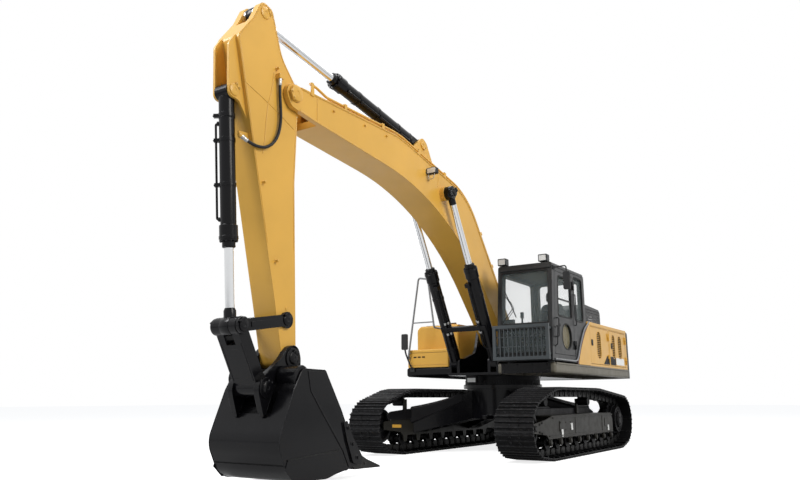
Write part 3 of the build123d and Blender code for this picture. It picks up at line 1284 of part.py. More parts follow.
def arm_and_bucket_cylinders():
    """Barrels and rods of the arm and the bucket."""
    keep("arm_barrel", barrel("arm", ARM_BARREL_PIN, ARM_ROD_PIN, TAIL_EYE_HALF, PIN_RADIUS))
    keep("arm_rod", rod("arm", ARM_BARREL_PIN, ARM_ROD_PIN, TAIL_EYE_HALF, TAIL_EYE_HALF))
    keep("bucket_barrel", barrel("bucket", BUCKET_BARREL_PIN, LINK_TOP_PIN, HEAD_EYE_HALF, PIN_RADIUS))
    eye_half = LINK_FORK_HALF - PIN_GAP
    keep("bucket_rod", rod("bucket", BUCKET_BARREL_PIN, LINK_TOP_PIN, eye_half, eye_half))


def bar_between(start, end, radius, low, high):
    """Flat bar with round ends round two pivots, between two y."""
    direction, length = toward(start, end)
    across = Vector(-direction.Z, 0, direction.X) * (radius * 0.72)
    first, last = Vector(start[0], 0, start[1]), Vector(end[0], 0, end[1])
    corners = [first - across, last - across, last + across, first + across]
    web = side_prism([(c.X, c.Z) for c in corners], low, high)
    return joined([web, disc_y(start, radius, low, high), disc_y(end, radius, low, high)])


def rockers():
    """The two guide bars between the arm and the link's upper pin."""
    bars = []
    for side in (1, -1):
        low, high = sorted((side * ROCKER_INNER, side * ROCKER_OUTER))
        bar = bar_between(ROCKER_PIN, LINK_TOP_PIN, 92, low, high)
        bars.append((bar - disc_y(ROCKER_PIN, PIN_RADIUS + PIN_GAP, low - 1, high + 1)).solid())
    return bars


def bucket_link():
    """Box link from the rod's eye to the bucket, forked at its upper end."""
    direction, length = toward(LINK_LOW_PIN, LINK_TOP_PIN)
    shape = bar_between(LINK_LOW_PIN, LINK_TOP_PIN, 98, -LINK_HALF, LINK_HALF)
    shape = shape - disc_y(LINK_TOP_PIN, 200, -LINK_FORK_HALF, LINK_FORK_HALF)
    room = block((-70, 70), (-LINK_HALF + 30, LINK_HALF - 30), (150, length - 240))
    shape = shape - Plane((LINK_LOW_PIN[0], 0, LINK_LOW_PIN[1]), x_dir=(direction.Z, 0, -direction.X),
                          z_dir=direction) * room
    shape = shape - disc_y(LINK_LOW_PIN, PIN_RADIUS + PIN_GAP, -LINK_HALF - 1, LINK_HALF + 1)
    return shape.solid()


def bucket_outline():
    """Corners of the bucket's side plate: lip, mouth, top, back and heel."""
    return [
        (5100, 184), (5330, 660, 300), (5700, 1214, 30), (6085, 1220, 90), (6215, 1000, 160),
        (6440, 450, 260), (6240, 62, 280), (5640, 52, 400),
    ]


def bucket_shell():
    """Wrapper, side plates, lip, ears and their pins."""
    half, plate = BUCKET_HALF_WIDTH, BUCKET_PLATE
    outer = bucket_outline()
    shape = side_prism(outer, -half, half)
    core = offset(Face(outline(outer, at_xz, -half + plate)), amount=-plate).faces()[0]
    room = Solid.extrude(core, Vector(0, 2 * (half - plate), 0))
    shape = shape - room
    (lip_x, lip_z), (top_x, top_z) = outer[0][:2], outer[2][:2]
    mouth = side_prism([
        (lip_x - 60, lip_z + 40), (lip_x + 16, lip_z + plate), (5352, 640, 300), (top_x + 20, top_z - 60),
        (top_x - 120, top_z - 20),
    ], -half + plate, half - plate)
    shape = shape - mouth
    lip = side_prism([
        (lip_x - 70, lip_z + 6), (lip_x + 200, lip_z - 74), (lip_x + 220, lip_z - 50), (lip_x - 40, lip_z + 34),
    ], -half, half)
    shape = shape + lip
    return shape


def bucket_ears():
    """Ears for the arm's tip and the link, with the two pins, on the bucket's back."""
    corners = [
        (ARM_TIP[0] - 110, 1195), (ARM_TIP[0] - 118, ARM_TIP[1] + 60, 100), (ARM_TIP[0] + 40, ARM_TIP[1] + 150, 110),
        (ARM_TIP[0] + 170, ARM_TIP[1] + 10, 120), (LINK_LOW_PIN[0] + 30, LINK_LOW_PIN[1] + 140, 110),
        (LINK_LOW_PIN[0] + 130, LINK_LOW_PIN[1] - 10, 100), (LINK_LOW_PIN[0] + 30, LINK_LOW_PIN[1] - 300),
        (LINK_LOW_PIN[0] - 60, 800), (6160, 1080), (6060, 1198),
    ]
    ear_low = ARM_HALF_WIDTH + PIN_GAP
    ear = side_prism(corners, ear_low, ear_low + EAR_THICK)
    ears = joined([ear, mirrored(ear)])
    outer = ear_low + EAR_THICK
    pins = joined([
        disc_y(ARM_TIP, PIN_RADIUS, -outer - 14, outer + 14),
        disc_y(LINK_LOW_PIN, PIN_RADIUS, -outer - 14, outer + 14),
    ])
    return ears, pins


def bucket():
    """Digging bucket without its teeth."""
    ears, pins = bucket_ears()
    shape = bucket_shell() + ears + pins
    return shape.solid()


def bucket_teeth(shell):
    """Teeth with their adapters, which wrap the shell's lip."""
    lip_x, lip_z = bucket_outline()[0][:2]
    span = BUCKET_HALF_WIDTH - TOOTH_HALF - 6
    solids = []
    for i in range(TEETH):
        y = -span + 2 * span * i / (TEETH - 1)
        tooth = side_prism([
            (lip_x - 74, lip_z + 4), (lip_x + 60, lip_z - 36), (lip_x + 40, lip_z - 74, 20),
            (lip_x - 120, lip_z - 76, 30), TOOTH_TIP, (TOOTH_TIP[0] + 10, TOOTH_TIP[1] + 22),
            (lip_x - 200, lip_z + 28, 60), (lip_x - 90, lip_z + 78, 30), (lip_x + 60, lip_z + 40, 20),
            (lip_x + 62, lip_z + 2),
        ], y - TOOTH_HALF, y + TOOTH_HALF)
        solids.append((tooth - shell).solids().sort_by(SortBy.VOLUME)[-1])
    return solids


def lifted(points, height):
    """Open run of (x, z) points moved to its left-hand side by a height."""
    steps = [Vector(b[0] - a[0], 0, b[1] - a[1]).normalized() for a, b in zip(points, points[1:])]
    sides = [Vector(-step.Z, 0, step.X) for step in steps]
    sides = [sides[0]] + sides + [sides[-1]]
    moved = []
    for (x, z), one, two in zip(points, sides, sides[1:]):
        shift = (one + two) * (height / (1 + one.dot(two)))
        moved.append((x + shift.X, z + shift.Z))
    return moved


def boom_pipes():
    """Two oil pipes along each edge of the boom's back, with the clamps that hold them."""
    corners = boom_outline()
    crown, shoulder, rear = [corner[:2] for corner in corners[6:9]]
    nose = (BOOM_NOSE[0] + 90, BOOM_NOSE[1] + 110)
    slope = (crown[1] - nose[1]) / (nose[0] - crown[0])
    foot = (shoulder[0] + 0.72 * (rear[0] - shoulder[0]), shoulder[1] + 0.72 * (rear[1] - shoulder[1]))
    pieces = []
    for y, end_x in ((OUTER_PIPE_Y, PIPE_NOSE_X), (INNER_PIPE_Y, PIPE_END_X)):
        end = (end_x, crown[1] - slope * (end_x - crown[0]))
        line = lifted([foot, shoulder, crown, end], PIPE_LIFT)
        bends = [1300 + PIPE_LIFT, 2000 + PIPE_LIFT]
        if y == OUTER_PIPE_Y:
            x, z = line[-1]
            line = line[:-1] + [(x - 330, z + 330 * slope), (x - 120, z + 66), (x, z + 70)]
            bends += [220, 220]
        pieces.append(tube([(x, y, z) for x, z in line], PIPE_RADIUS, bends))
    runs = (
        # start, end and the places of the clamps from the start
        (foot, shoulder, (500, 1150)), (shoulder, crown, (760, 1560)), (crown, nose, (420, 1290)),
    )
    for start, stop, places in runs:
        along, _ = toward(start, stop)
        for place in places:
            corners = [(place + step, lift) for step, lift in (
                (-28, PIN_GAP), (28, PIN_GAP), (28, PIPE_LIFT + PIPE_RADIUS + 8), (-28, PIPE_LIFT + PIPE_RADIUS + 8))]
            pieces.append(side_prism([
                (start[0] + along.X * far - along.Z * lift, start[1] + along.Z * far + along.X * lift)
                for far, lift in corners], INNER_PIPE_Y - 28, OUTER_PIPE_Y + 28))
    left = joined(pieces).solids()
    keep("boom_pipes", *left, *[mirrored(solid) for solid in left])


def beside_barrel(ahead, along):
    """(x, z) of a point that far along a boom cylinder's barrel and in front of its axis."""
    direction, _ = toward(BOOM_BARREL_PIN, BOOM_ROD_PIN)
    x = BOOM_BARREL_PIN[0] + direction.X * along + direction.Z * ahead
    z = BOOM_BARREL_PIN[1] + direction.Z * along - direction.X * ahead
    return x, z


def barrel_block(ahead, y, along):
    """Block square to the boom cylinders' barrels, from (low, high) pairs."""
    corners = [(ahead[0], along[0]), (ahead[1], along[0]), (ahead[1], along[1]), (ahead[0], along[1])]
    return side_prism([beside_barrel(*corner) for corner in corners], min(y), max(y))


def cylinder_pipes():
    """Clamp bar across the boom cylinders' barrels, thin pipes on them and the blocks they enter."""
    direction, _ = toward(BOOM_BARREL_PIN, BOOM_ROD_PIN)
    pieces = [barrel_block((58, 112), (-BOOM_CYLINDER_Y - 46, BOOM_CYLINDER_Y + 46), CLAMP_BAR)]
    for side in (1, -1):
        pieces.append(barrel_block(
            (40, 128), (side * (BOOM_CYLINDER_Y - 115), side * (BOOM_CYLINDER_Y - 30)), PORT_BLOCK))
        for ahead, inwards in THIN_PIPES:
            spot = beside_barrel(ahead, 0)
            pipe = along_disc(spot, direction, THIN_PIPE_RADIUS, CLAMP_BAR[0] - 40, PORT_BLOCK[0] + 10)
            nut = along_disc(spot, direction, THIN_PIPE_RADIUS + 8, CLAMP_BAR[1] - 2, CLAMP_BAR[1] + 34)
            pieces.append(Pos(0, side * (BOOM_CYLINDER_Y - inwards), 0) * (pipe + nut))
    shape = joined(pieces)
    room = along_disc(BOOM_BARREL_PIN, direction, BARREL_RADIUS["boom"] + PIN_GAP,
                      CLAMP_BAR[0] - 60, PORT_BLOCK[1] + 60)
    for y in (-BOOM_CYLINDER_Y, BOOM_CYLINDER_Y):
        shape = shape - Pos(0, y, 0) * room
    keep("cylinder_pipes", shape.solid())


def bucket_hose():
    """Hose from a block on the arm's side, round its front edge to the bucket cylinder."""
    bends = [HOSE_BEND] * (len(HOSE_ROUTE) - 2)
    print("hose radii", bends)
    keep("bucket_hose", tube(HOSE_ROUTE, HOSE_RADIUS, bends))


def hose_seats():
    """Block on the arm's left side where the hose starts, and the fitting and tab where it ends."""
    x, y, z = HOSE_ROUTE[0]
    block_on_side = block((x - 38, x + 38), (ARM_HALF_WIDTH - 4, y + 30), (z, z + 56))
    last = Vector(*HOSE_ROUTE[-1])
    end = (last - Vector(*HOSE_ROUTE[-2])).normalized()
    fitting = Solid.make_cylinder(HOSE_RADIUS + 6, 34, Plane(last, z_dir=end))
    tab = side_prism([(6600, 3700), (6790, 3704, 20), (6796, 3784, 20), (6630, 3800)], 96, 112)
    return [block_on_side, fitting, tab]


def working_equipment():
    """Boom, arm, bucket, their cylinders and the bucket's linkage."""
    keep("boom", boom())
    boom_pipes()
    keep("arm", arm())
    bucket_hose()
    boom_cylinders()
    cylinder_pipes()
    arm_and_bucket_cylinders()
    keep("rockers", *rockers())
    keep("bucket_link", bucket_link())
    shell = bucket()
    keep("bucket", shell)
    keep("bucket_teeth", *bucket_teeth(shell))


def main():
    """Builds every sub-part and writes it out."""
    os.makedirs("parts", exist_ok=True)
    undercarriage()
    house()
    cab()
    hand_rail()
    working_equipment()
    for name, shape in NODES.items():
        export_step(shape, f"parts/{name}.step")


if __name__ == "__main__":
    main()
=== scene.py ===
"""Crawler excavator in plain studio light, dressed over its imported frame.

The frame holds the solids of the machine: metres, +X forward, +Y to the cab side, +Z up,
the origin on the ground under the slewing bearing. This script gives each solid its finish
and adds what is too fine for the solids: track shoes, bolts, welds, pipes, hoses, seals.
"""

from __future__ import annotations

import json
import logging
import math
from dataclasses import dataclass
from enum import Enum
from functools import cache
from typing import Iterable, Sequence

import bpy
import numpy as np
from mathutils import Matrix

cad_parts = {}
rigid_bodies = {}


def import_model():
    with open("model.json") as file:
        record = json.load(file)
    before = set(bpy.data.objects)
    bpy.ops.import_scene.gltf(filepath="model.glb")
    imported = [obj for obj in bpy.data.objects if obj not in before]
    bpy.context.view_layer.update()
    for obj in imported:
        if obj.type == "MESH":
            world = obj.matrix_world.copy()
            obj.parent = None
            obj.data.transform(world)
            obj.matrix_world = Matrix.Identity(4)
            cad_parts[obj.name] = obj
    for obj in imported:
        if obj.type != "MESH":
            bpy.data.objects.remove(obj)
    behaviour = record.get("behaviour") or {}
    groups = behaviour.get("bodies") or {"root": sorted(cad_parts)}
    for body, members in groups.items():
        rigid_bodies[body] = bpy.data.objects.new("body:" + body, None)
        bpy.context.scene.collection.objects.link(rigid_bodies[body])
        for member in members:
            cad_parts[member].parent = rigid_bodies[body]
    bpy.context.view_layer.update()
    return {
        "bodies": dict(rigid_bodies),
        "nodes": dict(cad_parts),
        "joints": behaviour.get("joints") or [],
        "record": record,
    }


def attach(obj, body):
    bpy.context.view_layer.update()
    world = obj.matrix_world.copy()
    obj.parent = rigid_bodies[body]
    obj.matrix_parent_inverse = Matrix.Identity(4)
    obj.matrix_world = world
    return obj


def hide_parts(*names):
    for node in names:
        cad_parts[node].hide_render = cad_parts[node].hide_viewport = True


LOG = logging.getLogger("excavator")

Point = tuple[float, float, float]
Colour = tuple[float, float, float]
Span = tuple[float, float]
Outline = Sequence[Span] | np.ndarray
Faces = list[tuple[int, ...]]

UP = np.array((0.0, 0.0, 1.0))
LEFT = np.array((0.0, 1.0, 0.0))
FORWARD = np.array((1.0, 0.0, 0.0))
WHITE = (1.0, 1.0, 1.0)


# Finishes


class Bench:
    """Places and links the nodes of one node tree."""

    def __init__(self, tree: bpy.types.NodeTree) -> None:
        """Takes a tree and empties it.

        Args:
            tree: The tree to fill.
        """
        self.tree = tree
        tree.nodes.clear()

    def set(self, node: bpy.types.Node, **values: object) -> None:
        """Sets attributes of a node, or sockets where the name is a socket's.

        Args:
            node: The node.
            values: Attribute or socket names, with spaces as underscores.
        """
        for key, value in values.items():
            if hasattr(node, key):
                setattr(node, key, value)
            else:
                node.inputs[key.replace("_", " ")].default_value = value

    def add(self, kind: str, **values: object) -> bpy.types.Node:
        """Adds a node and sets its values.

        Args:
            kind: The node's type name without ShaderNode.
            values: As in set.

        Returns:
            The new node.
        """
        node = self.tree.nodes.new(f"ShaderNode{kind}")
        self.set(node, **values)
        return node

    def link(self, source: bpy.types.NodeSocket, target: bpy.types.NodeSocket) -> None:
        """Links an output to an input."""
        self.tree.links.new(source, target)

    def maths(self, operation: str, first: bpy.types.NodeSocket, second: object) -> bpy.types.NodeSocket:
        """A clamped maths node.

        Args:
            operation: The node's operation.
            first: Left value.
            second: Right value, a socket or a number.

        Returns:
            The result.
        """
        node = self.add("Math", operation=operation, use_clamp=True)
        self.link(first, node.inputs[0])
        if isinstance(second, float):
            node.inputs[1].default_value = second
        else:
            self.link(second, node.inputs[1])
        return node.outputs["Value"]


class Paint(Bench):
    """The nodes of one material, round its shader."""

    def __init__(self, name: str) -> None:
        """Opens a new material with its shader and output.

        Args:
            name: The material's name.
        """
        self.material = bpy.data.materials.new(name)
        self.material.use_nodes = True
        super().__init__(self.material.node_tree)
        self.shader = self.add("BsdfPrincipled")
        self.link(self.shader.outputs["BSDF"], self.add("OutputMaterial").inputs["Surface"])
        self.place = self.add("TexCoord").outputs["Object"]

    def noise(self, scale: float, detail: float = 3.0, rough: float = 0.5) -> bpy.types.NodeSocket:
        """A noise pattern in metres on the piece.

        Args:
            scale: Features per metre.
            detail: Octaves.
            rough: Share of the finer octaves.

        Returns:
            The noise's factor output.
        """
        node = self.add("TexNoise", Scale=scale, Detail=detail, Roughness=rough)
        self.link(self.place, node.inputs["Vector"])
        return node.outputs["Fac"]

    def ramp(self, source: bpy.types.NodeSocket, low: float, high: float,
             to_low: float = 0.0, to_high: float = 1.0) -> bpy.types.NodeSocket:
        """Maps a range onto another, clamped.

        Args:
            source: The value read.
            low: Where the range starts.
            high: Where it ends.
            to_low: Result at the start.
            to_high: Result at the end.

        Returns:
            The mapped value.
        """
        node = self.add("MapRange", From_Min=low, From_Max=high, To_Min=to_low, To_Max=to_high)
        self.link(source, node.inputs["Value"])
        return node.outputs["Result"]

    def mix(self, share: bpy.types.NodeSocket, first: object, second: object) -> bpy.types.NodeSocket:
        """Mixes two colours, each a socket or a colour.

        Args:
            share: How much of the second shows.
            first: Colour at share 0.
            second: Colour at share 1.

        Returns:
            The mixed colour.
        """
        node = self.add("Mix", data_type="RGBA")
        self.link(share, node.inputs["Factor"])
        for key, value in (("A", first), ("B", second)):
            socket = next(s for s in node.inputs if s.name == key and s.type == "RGBA")
            if isinstance(value, tuple):
                socket.default_value = (*value, 1.0)
            else:
                self.link(value, socket)
        return next(s for s in node.outputs if s.type == "RGBA")


@dataclass(frozen=True)
class Finish:
    """A surface finish: its colours and how light meets it.

    Attributes:
        name: The material's name.
        colour: Linear base colour.
        roughness: Middle roughness.
        metallic: 1 for bare metal.
        coat: Weight of a clear coat.
        gloss: Strength of the plain reflection, 0.5 for common paint.
        mottle: Share by which the colour drifts over half a metre.
        grain: Strength of the fine bump.
        grain_scale: Bumps per metre.
        dust: How much pale dust lies on faces that look up.
        edge: How much of the edge colour shows along edges.
        edge_colour: Colour painted along edges, as worn paint and as a painted highlight.
        edge_radius: Width of the rounded highlight along edges.
        dust_colour: Colour of the dust.
    """

    name: str
    colour: Colour
    roughness: float = 0.4
    metallic: float = 0.0
    coat: float = 0.0
    gloss: float = 0.5
    mottle: float = 0.05
    grain: float = 0.05
    grain_scale: float = 260.0
    dust: float = 0.0
    edge: float = 0.0
    edge_colour: Colour = (0.35, 0.34, 0.32)
    edge_radius: float = 0.004
    dust_colour: Colour = (0.32, 0.29, 0.25)

    def build(self) -> bpy.types.Material:
        """Builds the node material.

        Returns:
            A material whose colour drifts slowly, whose edges are rounded and carry worn paint and a painted
            highlight, and whose roughness and bump vary with two sizes of noise.
        """
        paint = Paint(self.name)
        drift = paint.ramp(paint.noise(1.6, 4.0), 0.3, 0.7)
        darker = tuple(max(c * (1 - 2 * self.mottle), 0.0) for c in self.colour)
        lighter = tuple(min(c * (1 + self.mottle), 1.0) for c in self.colour)
        colour = paint.mix(drift, darker, lighter)
        rounding = paint.add("Bevel", samples=4, Radius=self.edge_radius).outputs["Normal"]
        normal = paint.add("NewGeometry").outputs["Normal"]
        if self.edge > 0:
            dot = paint.add("VectorMath", operation="DOT_PRODUCT")
            paint.link(rounding, dot.inputs[0])
            paint.link(normal, dot.inputs[1])
            # Edge mask from the rounded normal: the edge colour is painted here as worn paint and as a
            # painted highlight along edges.
            edge_wear_and_highlight = paint.ramp(dot.outputs["Value"], 0.985, 0.85, 0.0, self.edge)
            broken = paint.ramp(paint.noise(23.0, 5.0, 0.65), 0.42, 0.6)
            colour = paint.mix(paint.maths("MULTIPLY", edge_wear_and_highlight, broken), colour, self.edge_colour)
        if self.dust > 0:
            facing = paint.add("SeparateXYZ")
            paint.link(normal, facing.inputs[0])
            up = paint.ramp(facing.outputs["Z"], 0.35, 0.95, 0.0, self.dust)
            patchy = paint.ramp(paint.noise(6.0, 6.0, 0.6), 0.35, 0.7)
            colour = paint.mix(paint.maths("MULTIPLY", up, patchy), colour, self.dust_colour)
        paint.link(colour, paint.shader.inputs["Base Color"])
        paint.set(paint.shader, Metallic=self.metallic, Specular_IOR_Level=self.gloss,
                  Coat_Weight=self.coat, Coat_Roughness=0.06)
        uneven = paint.ramp(paint.noise(9.0, 5.0, 0.6), 0.3, 0.7,
                            self.roughness * 0.82, min(self.roughness * 1.2, 1.0))
        paint.link(uneven, paint.shader.inputs["Roughness"])
        bump = paint.add("Bump", Strength=self.grain, Distance=0.002)
        paint.link(paint.noise(self.grain_scale, 2.0), bump.inputs["Height"])
        paint.link(rounding, bump.inputs["Normal"])
        paint.link(bump.outputs["Normal"], paint.shader.inputs["Normal"])
        return paint.material


@dataclass(frozen=True)
class Pane:
    """Clear or tinted sheet glass.

    Attributes:
        name: The material's name.
        tint: Colour of light through the pane.
        share: How much of the light passes.
    """

    name: str
    tint: Colour
    share: float

    def build(self) -> bpy.types.Material:
        """Builds the pane's material: faintly streaked, thin and see-through."""
        paint = Paint(self.name)
        streaks = paint.ramp(paint.noise(3.0, 5.0, 0.6), 0.3, 0.75, 0.02, 0.10)
        paint.link(streaks, paint.shader.inputs["Roughness"])
        film = paint.ramp(paint.noise(7.0, 4.0), 0.3, 0.8)
        darker = tuple(c * 0.92 for c in self.tint)
        paint.link(paint.mix(film, self.tint, darker), paint.shader.inputs["Base Color"])
        paint.set(paint.shader, Alpha=1.0 - self.share, IOR=1.5, Specular_IOR_Level=0.6)
        return paint.material


class Look(Enum):
    """The machine's finishes."""

    # Each edge_colour below is painted along edges as worn paint and as a painted highlight. On the yellow
    # paint and the track iron it is mostly a painted highlight.
    YELLOW = Finish("golden_yellow_enamel", (0.70, 0.390, 0.062), roughness=0.34, coat=0.12, gloss=0.35,
                    mottle=0.035, dust=0.08, edge=0.18, edge_colour=(0.88, 0.62, 0.25), edge_radius=0.006)
    BLACK = Finish("gloss_black_enamel", (0.004, 0.004, 0.005), roughness=0.20, coat=0.04, gloss=0.16,
                   mottle=0.12, dust=0.01, edge=0.40, edge_colour=(0.10, 0.10, 0.11), edge_radius=0.006)
    CAB_GREY = Finish("cab_dark_enamel", (0.016, 0.017, 0.018), roughness=0.34, coat=0.05, gloss=0.24,
                      mottle=0.10, grain=0.08, edge=0.35, edge_colour=(0.10, 0.11, 0.12))
    GUARD = Finish("guard_grey_enamel", (0.050, 0.060, 0.065), coat=0.05, gloss=0.35,
                   mottle=0.08, grain=0.08, edge=0.4, edge_colour=(0.16, 0.18, 0.19))
    SKIRT = Finish("warm_grey_enamel", (0.135, 0.124, 0.095), roughness=0.42, coat=0.05, gloss=0.25,
                   dust=0.06, edge=0.3, edge_colour=(0.45, 0.42, 0.36), edge_radius=0.010)
    IRON = Finish("track_iron", (0.0045, 0.0045, 0.005), roughness=0.46, gloss=0.10, mottle=0.20, grain=0.25,
                  grain_scale=120.0, edge=0.85, edge_colour=(0.105, 0.105, 0.110), edge_radius=0.009)
    CHAIN = Finish("chain_steel", (0.012, 0.012, 0.012), roughness=0.42, metallic=0.2, gloss=0.14,
                   mottle=0.2, grain=0.2, edge=0.45, edge_colour=(0.10, 0.10, 0.095))
    FRAME = Finish("track_frame_enamel", (0.020, 0.019, 0.016), coat=0.02, gloss=0.15,
                   mottle=0.12, grain=0.12, edge=0.3, edge_colour=(0.10, 0.10, 0.09))
    CHROME = Finish("polished_rod_chrome", (0.70, 0.71, 0.72), roughness=0.14, metallic=1.0,
                    mottle=0.02, grain=0.015)
    STEEL = Finish("zinc_plated_steel", (0.42, 0.42, 0.41), roughness=0.34, metallic=0.9,
                   mottle=0.10, grain=0.08, edge=0.3, edge_colour=(0.7, 0.7, 0.68), edge_radius=0.002)
    RAIL = Finish("grey_rail_enamel", (0.24, 0.25, 0.26), coat=0.1, gloss=0.4, edge=0.2)
    RUBBER = Finish("black_rubber", (0.012, 0.012, 0.012), roughness=0.62, gloss=0.3, mottle=0.15,
                    grain=0.22, grain_scale=500.0)
    PLASTIC = Finish("moulded_plastic", (0.016, 0.017, 0.018), roughness=0.55, gloss=0.3, mottle=0.08,
                     grain=0.30, grain_scale=900.0)
    LINING = Finish("roof_lining", (0.060, 0.054, 0.044), roughness=0.85, gloss=0.1, mottle=0.1,
                    grain=0.4, grain_scale=600.0)
    CLOTH = Finish("woven_seat_cloth", (0.030, 0.031, 0.034), roughness=0.9, gloss=0.2, mottle=0.15,
                   grain=0.6, grain_scale=700.0)
    TOOTH = Finish("worn_tooth_steel", (0.020, 0.019, 0.018), roughness=0.42, metallic=0.4, gloss=0.3,
                   mottle=0.25, grain=0.25, edge=0.8, edge_colour=(0.26, 0.25, 0.23))
    CASTING = Finish("painted_casting", (0.006, 0.006, 0.007), roughness=0.42, coat=0.02, gloss=0.14,
                     mottle=0.15, grain=0.35, grain_scale=90.0, dust=0.01, edge=0.4,
                     edge_colour=(0.10, 0.10, 0.10))
    OLIVE = Finish("olive_blind", (0.130, 0.088, 0.018), roughness=0.6, gloss=0.3, mottle=0.25, grain=0.3)
    # Dark maroon used as painted shade in the gap between the cab and the left cover.
    PAINTED_SHADE = Finish("painted_shade_maroon", (0.065, 0.014, 0.010), coat=0.1, gloss=0.3, mottle=0.06)
    SCREEN = Finish("vent_screen", (0.120, 0.062, 0.012), roughness=0.7, gloss=0.2, mottle=0.2, grain=0.6,
                    grain_scale=300.0)
    LENS = Finish("lamp_lens", (0.75, 0.76, 0.74), roughness=0.12, coat=0.8, mottle=0.02, grain=0.4,
                  grain_scale=160.0)
    GLASS = Pane("cab_glass", (0.50, 0.60, 0.60), 0.91)

    @cache
    def material(self) -> bpy.types.Material:
        """The finish's node material, built on first use."""
        return self.value.build()


# Meshes


@dataclass
class Shell:
    """Points and faces of a mesh being worked out.

    Attributes:
        points: Array of n by 3 places in metres.
        faces: Index tuples, each face wound outwards.
    """

    points: np.ndarray
    faces: Faces

    def piece(self, name: str, body: str, look: Look, slot: str, bevel: float = 0.0,
              smooth_deg: float = 35.0) -> bpy.types.Object:
        """Makes the object, gives it its finish and lets it ride on a body.

        Args:
            name: The object's name.
            body: The body that carries it.
            look: Its finish.
            slot: The record's slot; not used.
            bevel: Width of a bevel along its sharp edges, or 0.
            smooth_deg: Faces that meet flatter than this are shaded smooth.

        Returns:
            The new object.
        """
        mesh = bpy.data.meshes.new(name)
        mesh.from_pydata(self.points.tolist(), [], self.faces)
        mesh.validate()
        mesh.materials.append(look.material())
        mesh.set_sharp_from_angle(angle=math.radians(smooth_deg))
        smoothed(mesh)
        obj = linked(name, mesh)
        if bevel > 0:
            rounding = obj.modifiers.new("edge_round", "BEVEL")
            rounding.width, rounding.segments = bevel, 2
            rounding.limit_method, rounding.angle_limit = "ANGLE", math.radians(35.0)
            rounding.harden_normals = False
        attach(obj, body)
        return obj


def linked(name: str, data: bpy.types.ID) -> bpy.types.Object:
    """A new object for some data, in the scene."""
    obj = bpy.data.objects.new(name, data)
    bpy.context.scene.collection.objects.link(obj)
    return obj


def smoothed(mesh: bpy.types.Mesh) -> None:
    """Shades every face of a mesh smooth, apart from its sharp edges."""
    mesh.polygons.foreach_set("use_smooth", np.ones(len(mesh.polygons), dtype=bool))


def joined(shells: Iterable[Shell]) -> Shell:
    """Joins several shells, moving the faces' indices on.

    Args:
        shells: The shells.

    Returns:
        All of them as one.
    """
    points, faces, start = [], [], 0
    for shell in shells:
        points.append(shell.points)
        faces += [tuple(i + start for i in face) for face in shell.faces]
        start += len(shell.points)
    return Shell(np.concatenate(points), faces)


def mirrored(shell: Shell) -> Shell:
    """The shell on the other side of the centre plane, with its faces turned back outwards."""
    return Shell(shell.points * np.array((1.0, -1.0, 1.0)), [face[::-1] for face in shell.faces])


def both(shells: Iterable[Shell]) -> Shell:
    """Shells made for the left, on both sides of the centre plane, as one."""
    left = joined(shells)
    return joined([left, mirrored(left)])


def on_side(shell: Shell, side: int) -> Shell:
    """A shell made for the left, there for side 1 and on the right for side -1."""
    return shell if side > 0 else mirrored(shell)


def grid_faces(rows: int, columns: int, wrap_rows: bool = False) -> Faces:
    """Quads over a grid of points: cell (i, j) joins (i, j), (i, j+1), (i+1, j+1), (i+1, j).

    Args:
        rows: Points along the first parameter.
        columns: Points along the second, whose last joins its first.
        wrap_rows: Whether the last row joins the first.

    Returns:
        The quads.
    """
    i = np.arange(rows if wrap_rows else rows - 1)[:, None]
    j = np.arange(columns)[None, :]
    k, m = (i + 1) % rows, (j + 1) % columns
    quads = np.stack([i * columns + j, i * columns + m, k * columns + m, k * columns + j], axis=-1)
    return [tuple(q) for q in quads.reshape(-1, 4).tolist()]


def capped_faces(rows: int, columns: int) -> Faces:
    """Quads over a tube of rings, and a flat face over each end."""
    low, high = range(columns - 1, -1, -1), range((rows - 1) * columns, rows * columns)
    return [*grid_faces(rows, columns), tuple(low), tuple(high)]


def swept(profile: np.ndarray, path: np.ndarray, side: np.ndarray, closed: bool = False) -> Shell:
    """Carries a closed profile along a path.

    The point (i, j) is path[i] + profile[j, 0] * across[i] + profile[j, 1] * over[i], where
    across is the side direction made square to the path, and over is square to both.

    Args:
        profile: m by 2 offsets, wound anticlockwise when seen against the path.
        path: n by 3 places.
        side: Direction that the profile's first axis follows.
        closed: Whether the path's end joins its start.

    Returns:
        The swept shell, with flat ends where the path is open.
    """
    ahead = np.roll(path, -1, axis=0) - np.roll(path, 1, axis=0)
    if not closed:
        ahead[0], ahead[-1] = path[1] - path[0], path[-1] - path[-2]
    along = ahead / np.linalg.norm(ahead, axis=1, keepdims=True)
    across = side - along * np.sum(side * along, axis=1, keepdims=True)
    across = across / np.linalg.norm(across, axis=1, keepdims=True)
    over = np.cross(along, across)
    points = path[:, None] + profile[None, :, :1] * across[:, None] + profile[None, :, 1:] * over[:, None]
    size = len(path), len(profile)
    return Shell(points.reshape(-1, 3), grid_faces(*size, True) if closed else capped_faces(*size))


def round_profile(radius: float, sides: int = 12) -> np.ndarray:
    """Circle of offsets: (r cos a, r sin a) for equal steps of a."""
    angle = np.arange(sides) * 2 * np.pi / sides
    return np.stack([np.cos(angle), np.sin(angle)], axis=1) * radius


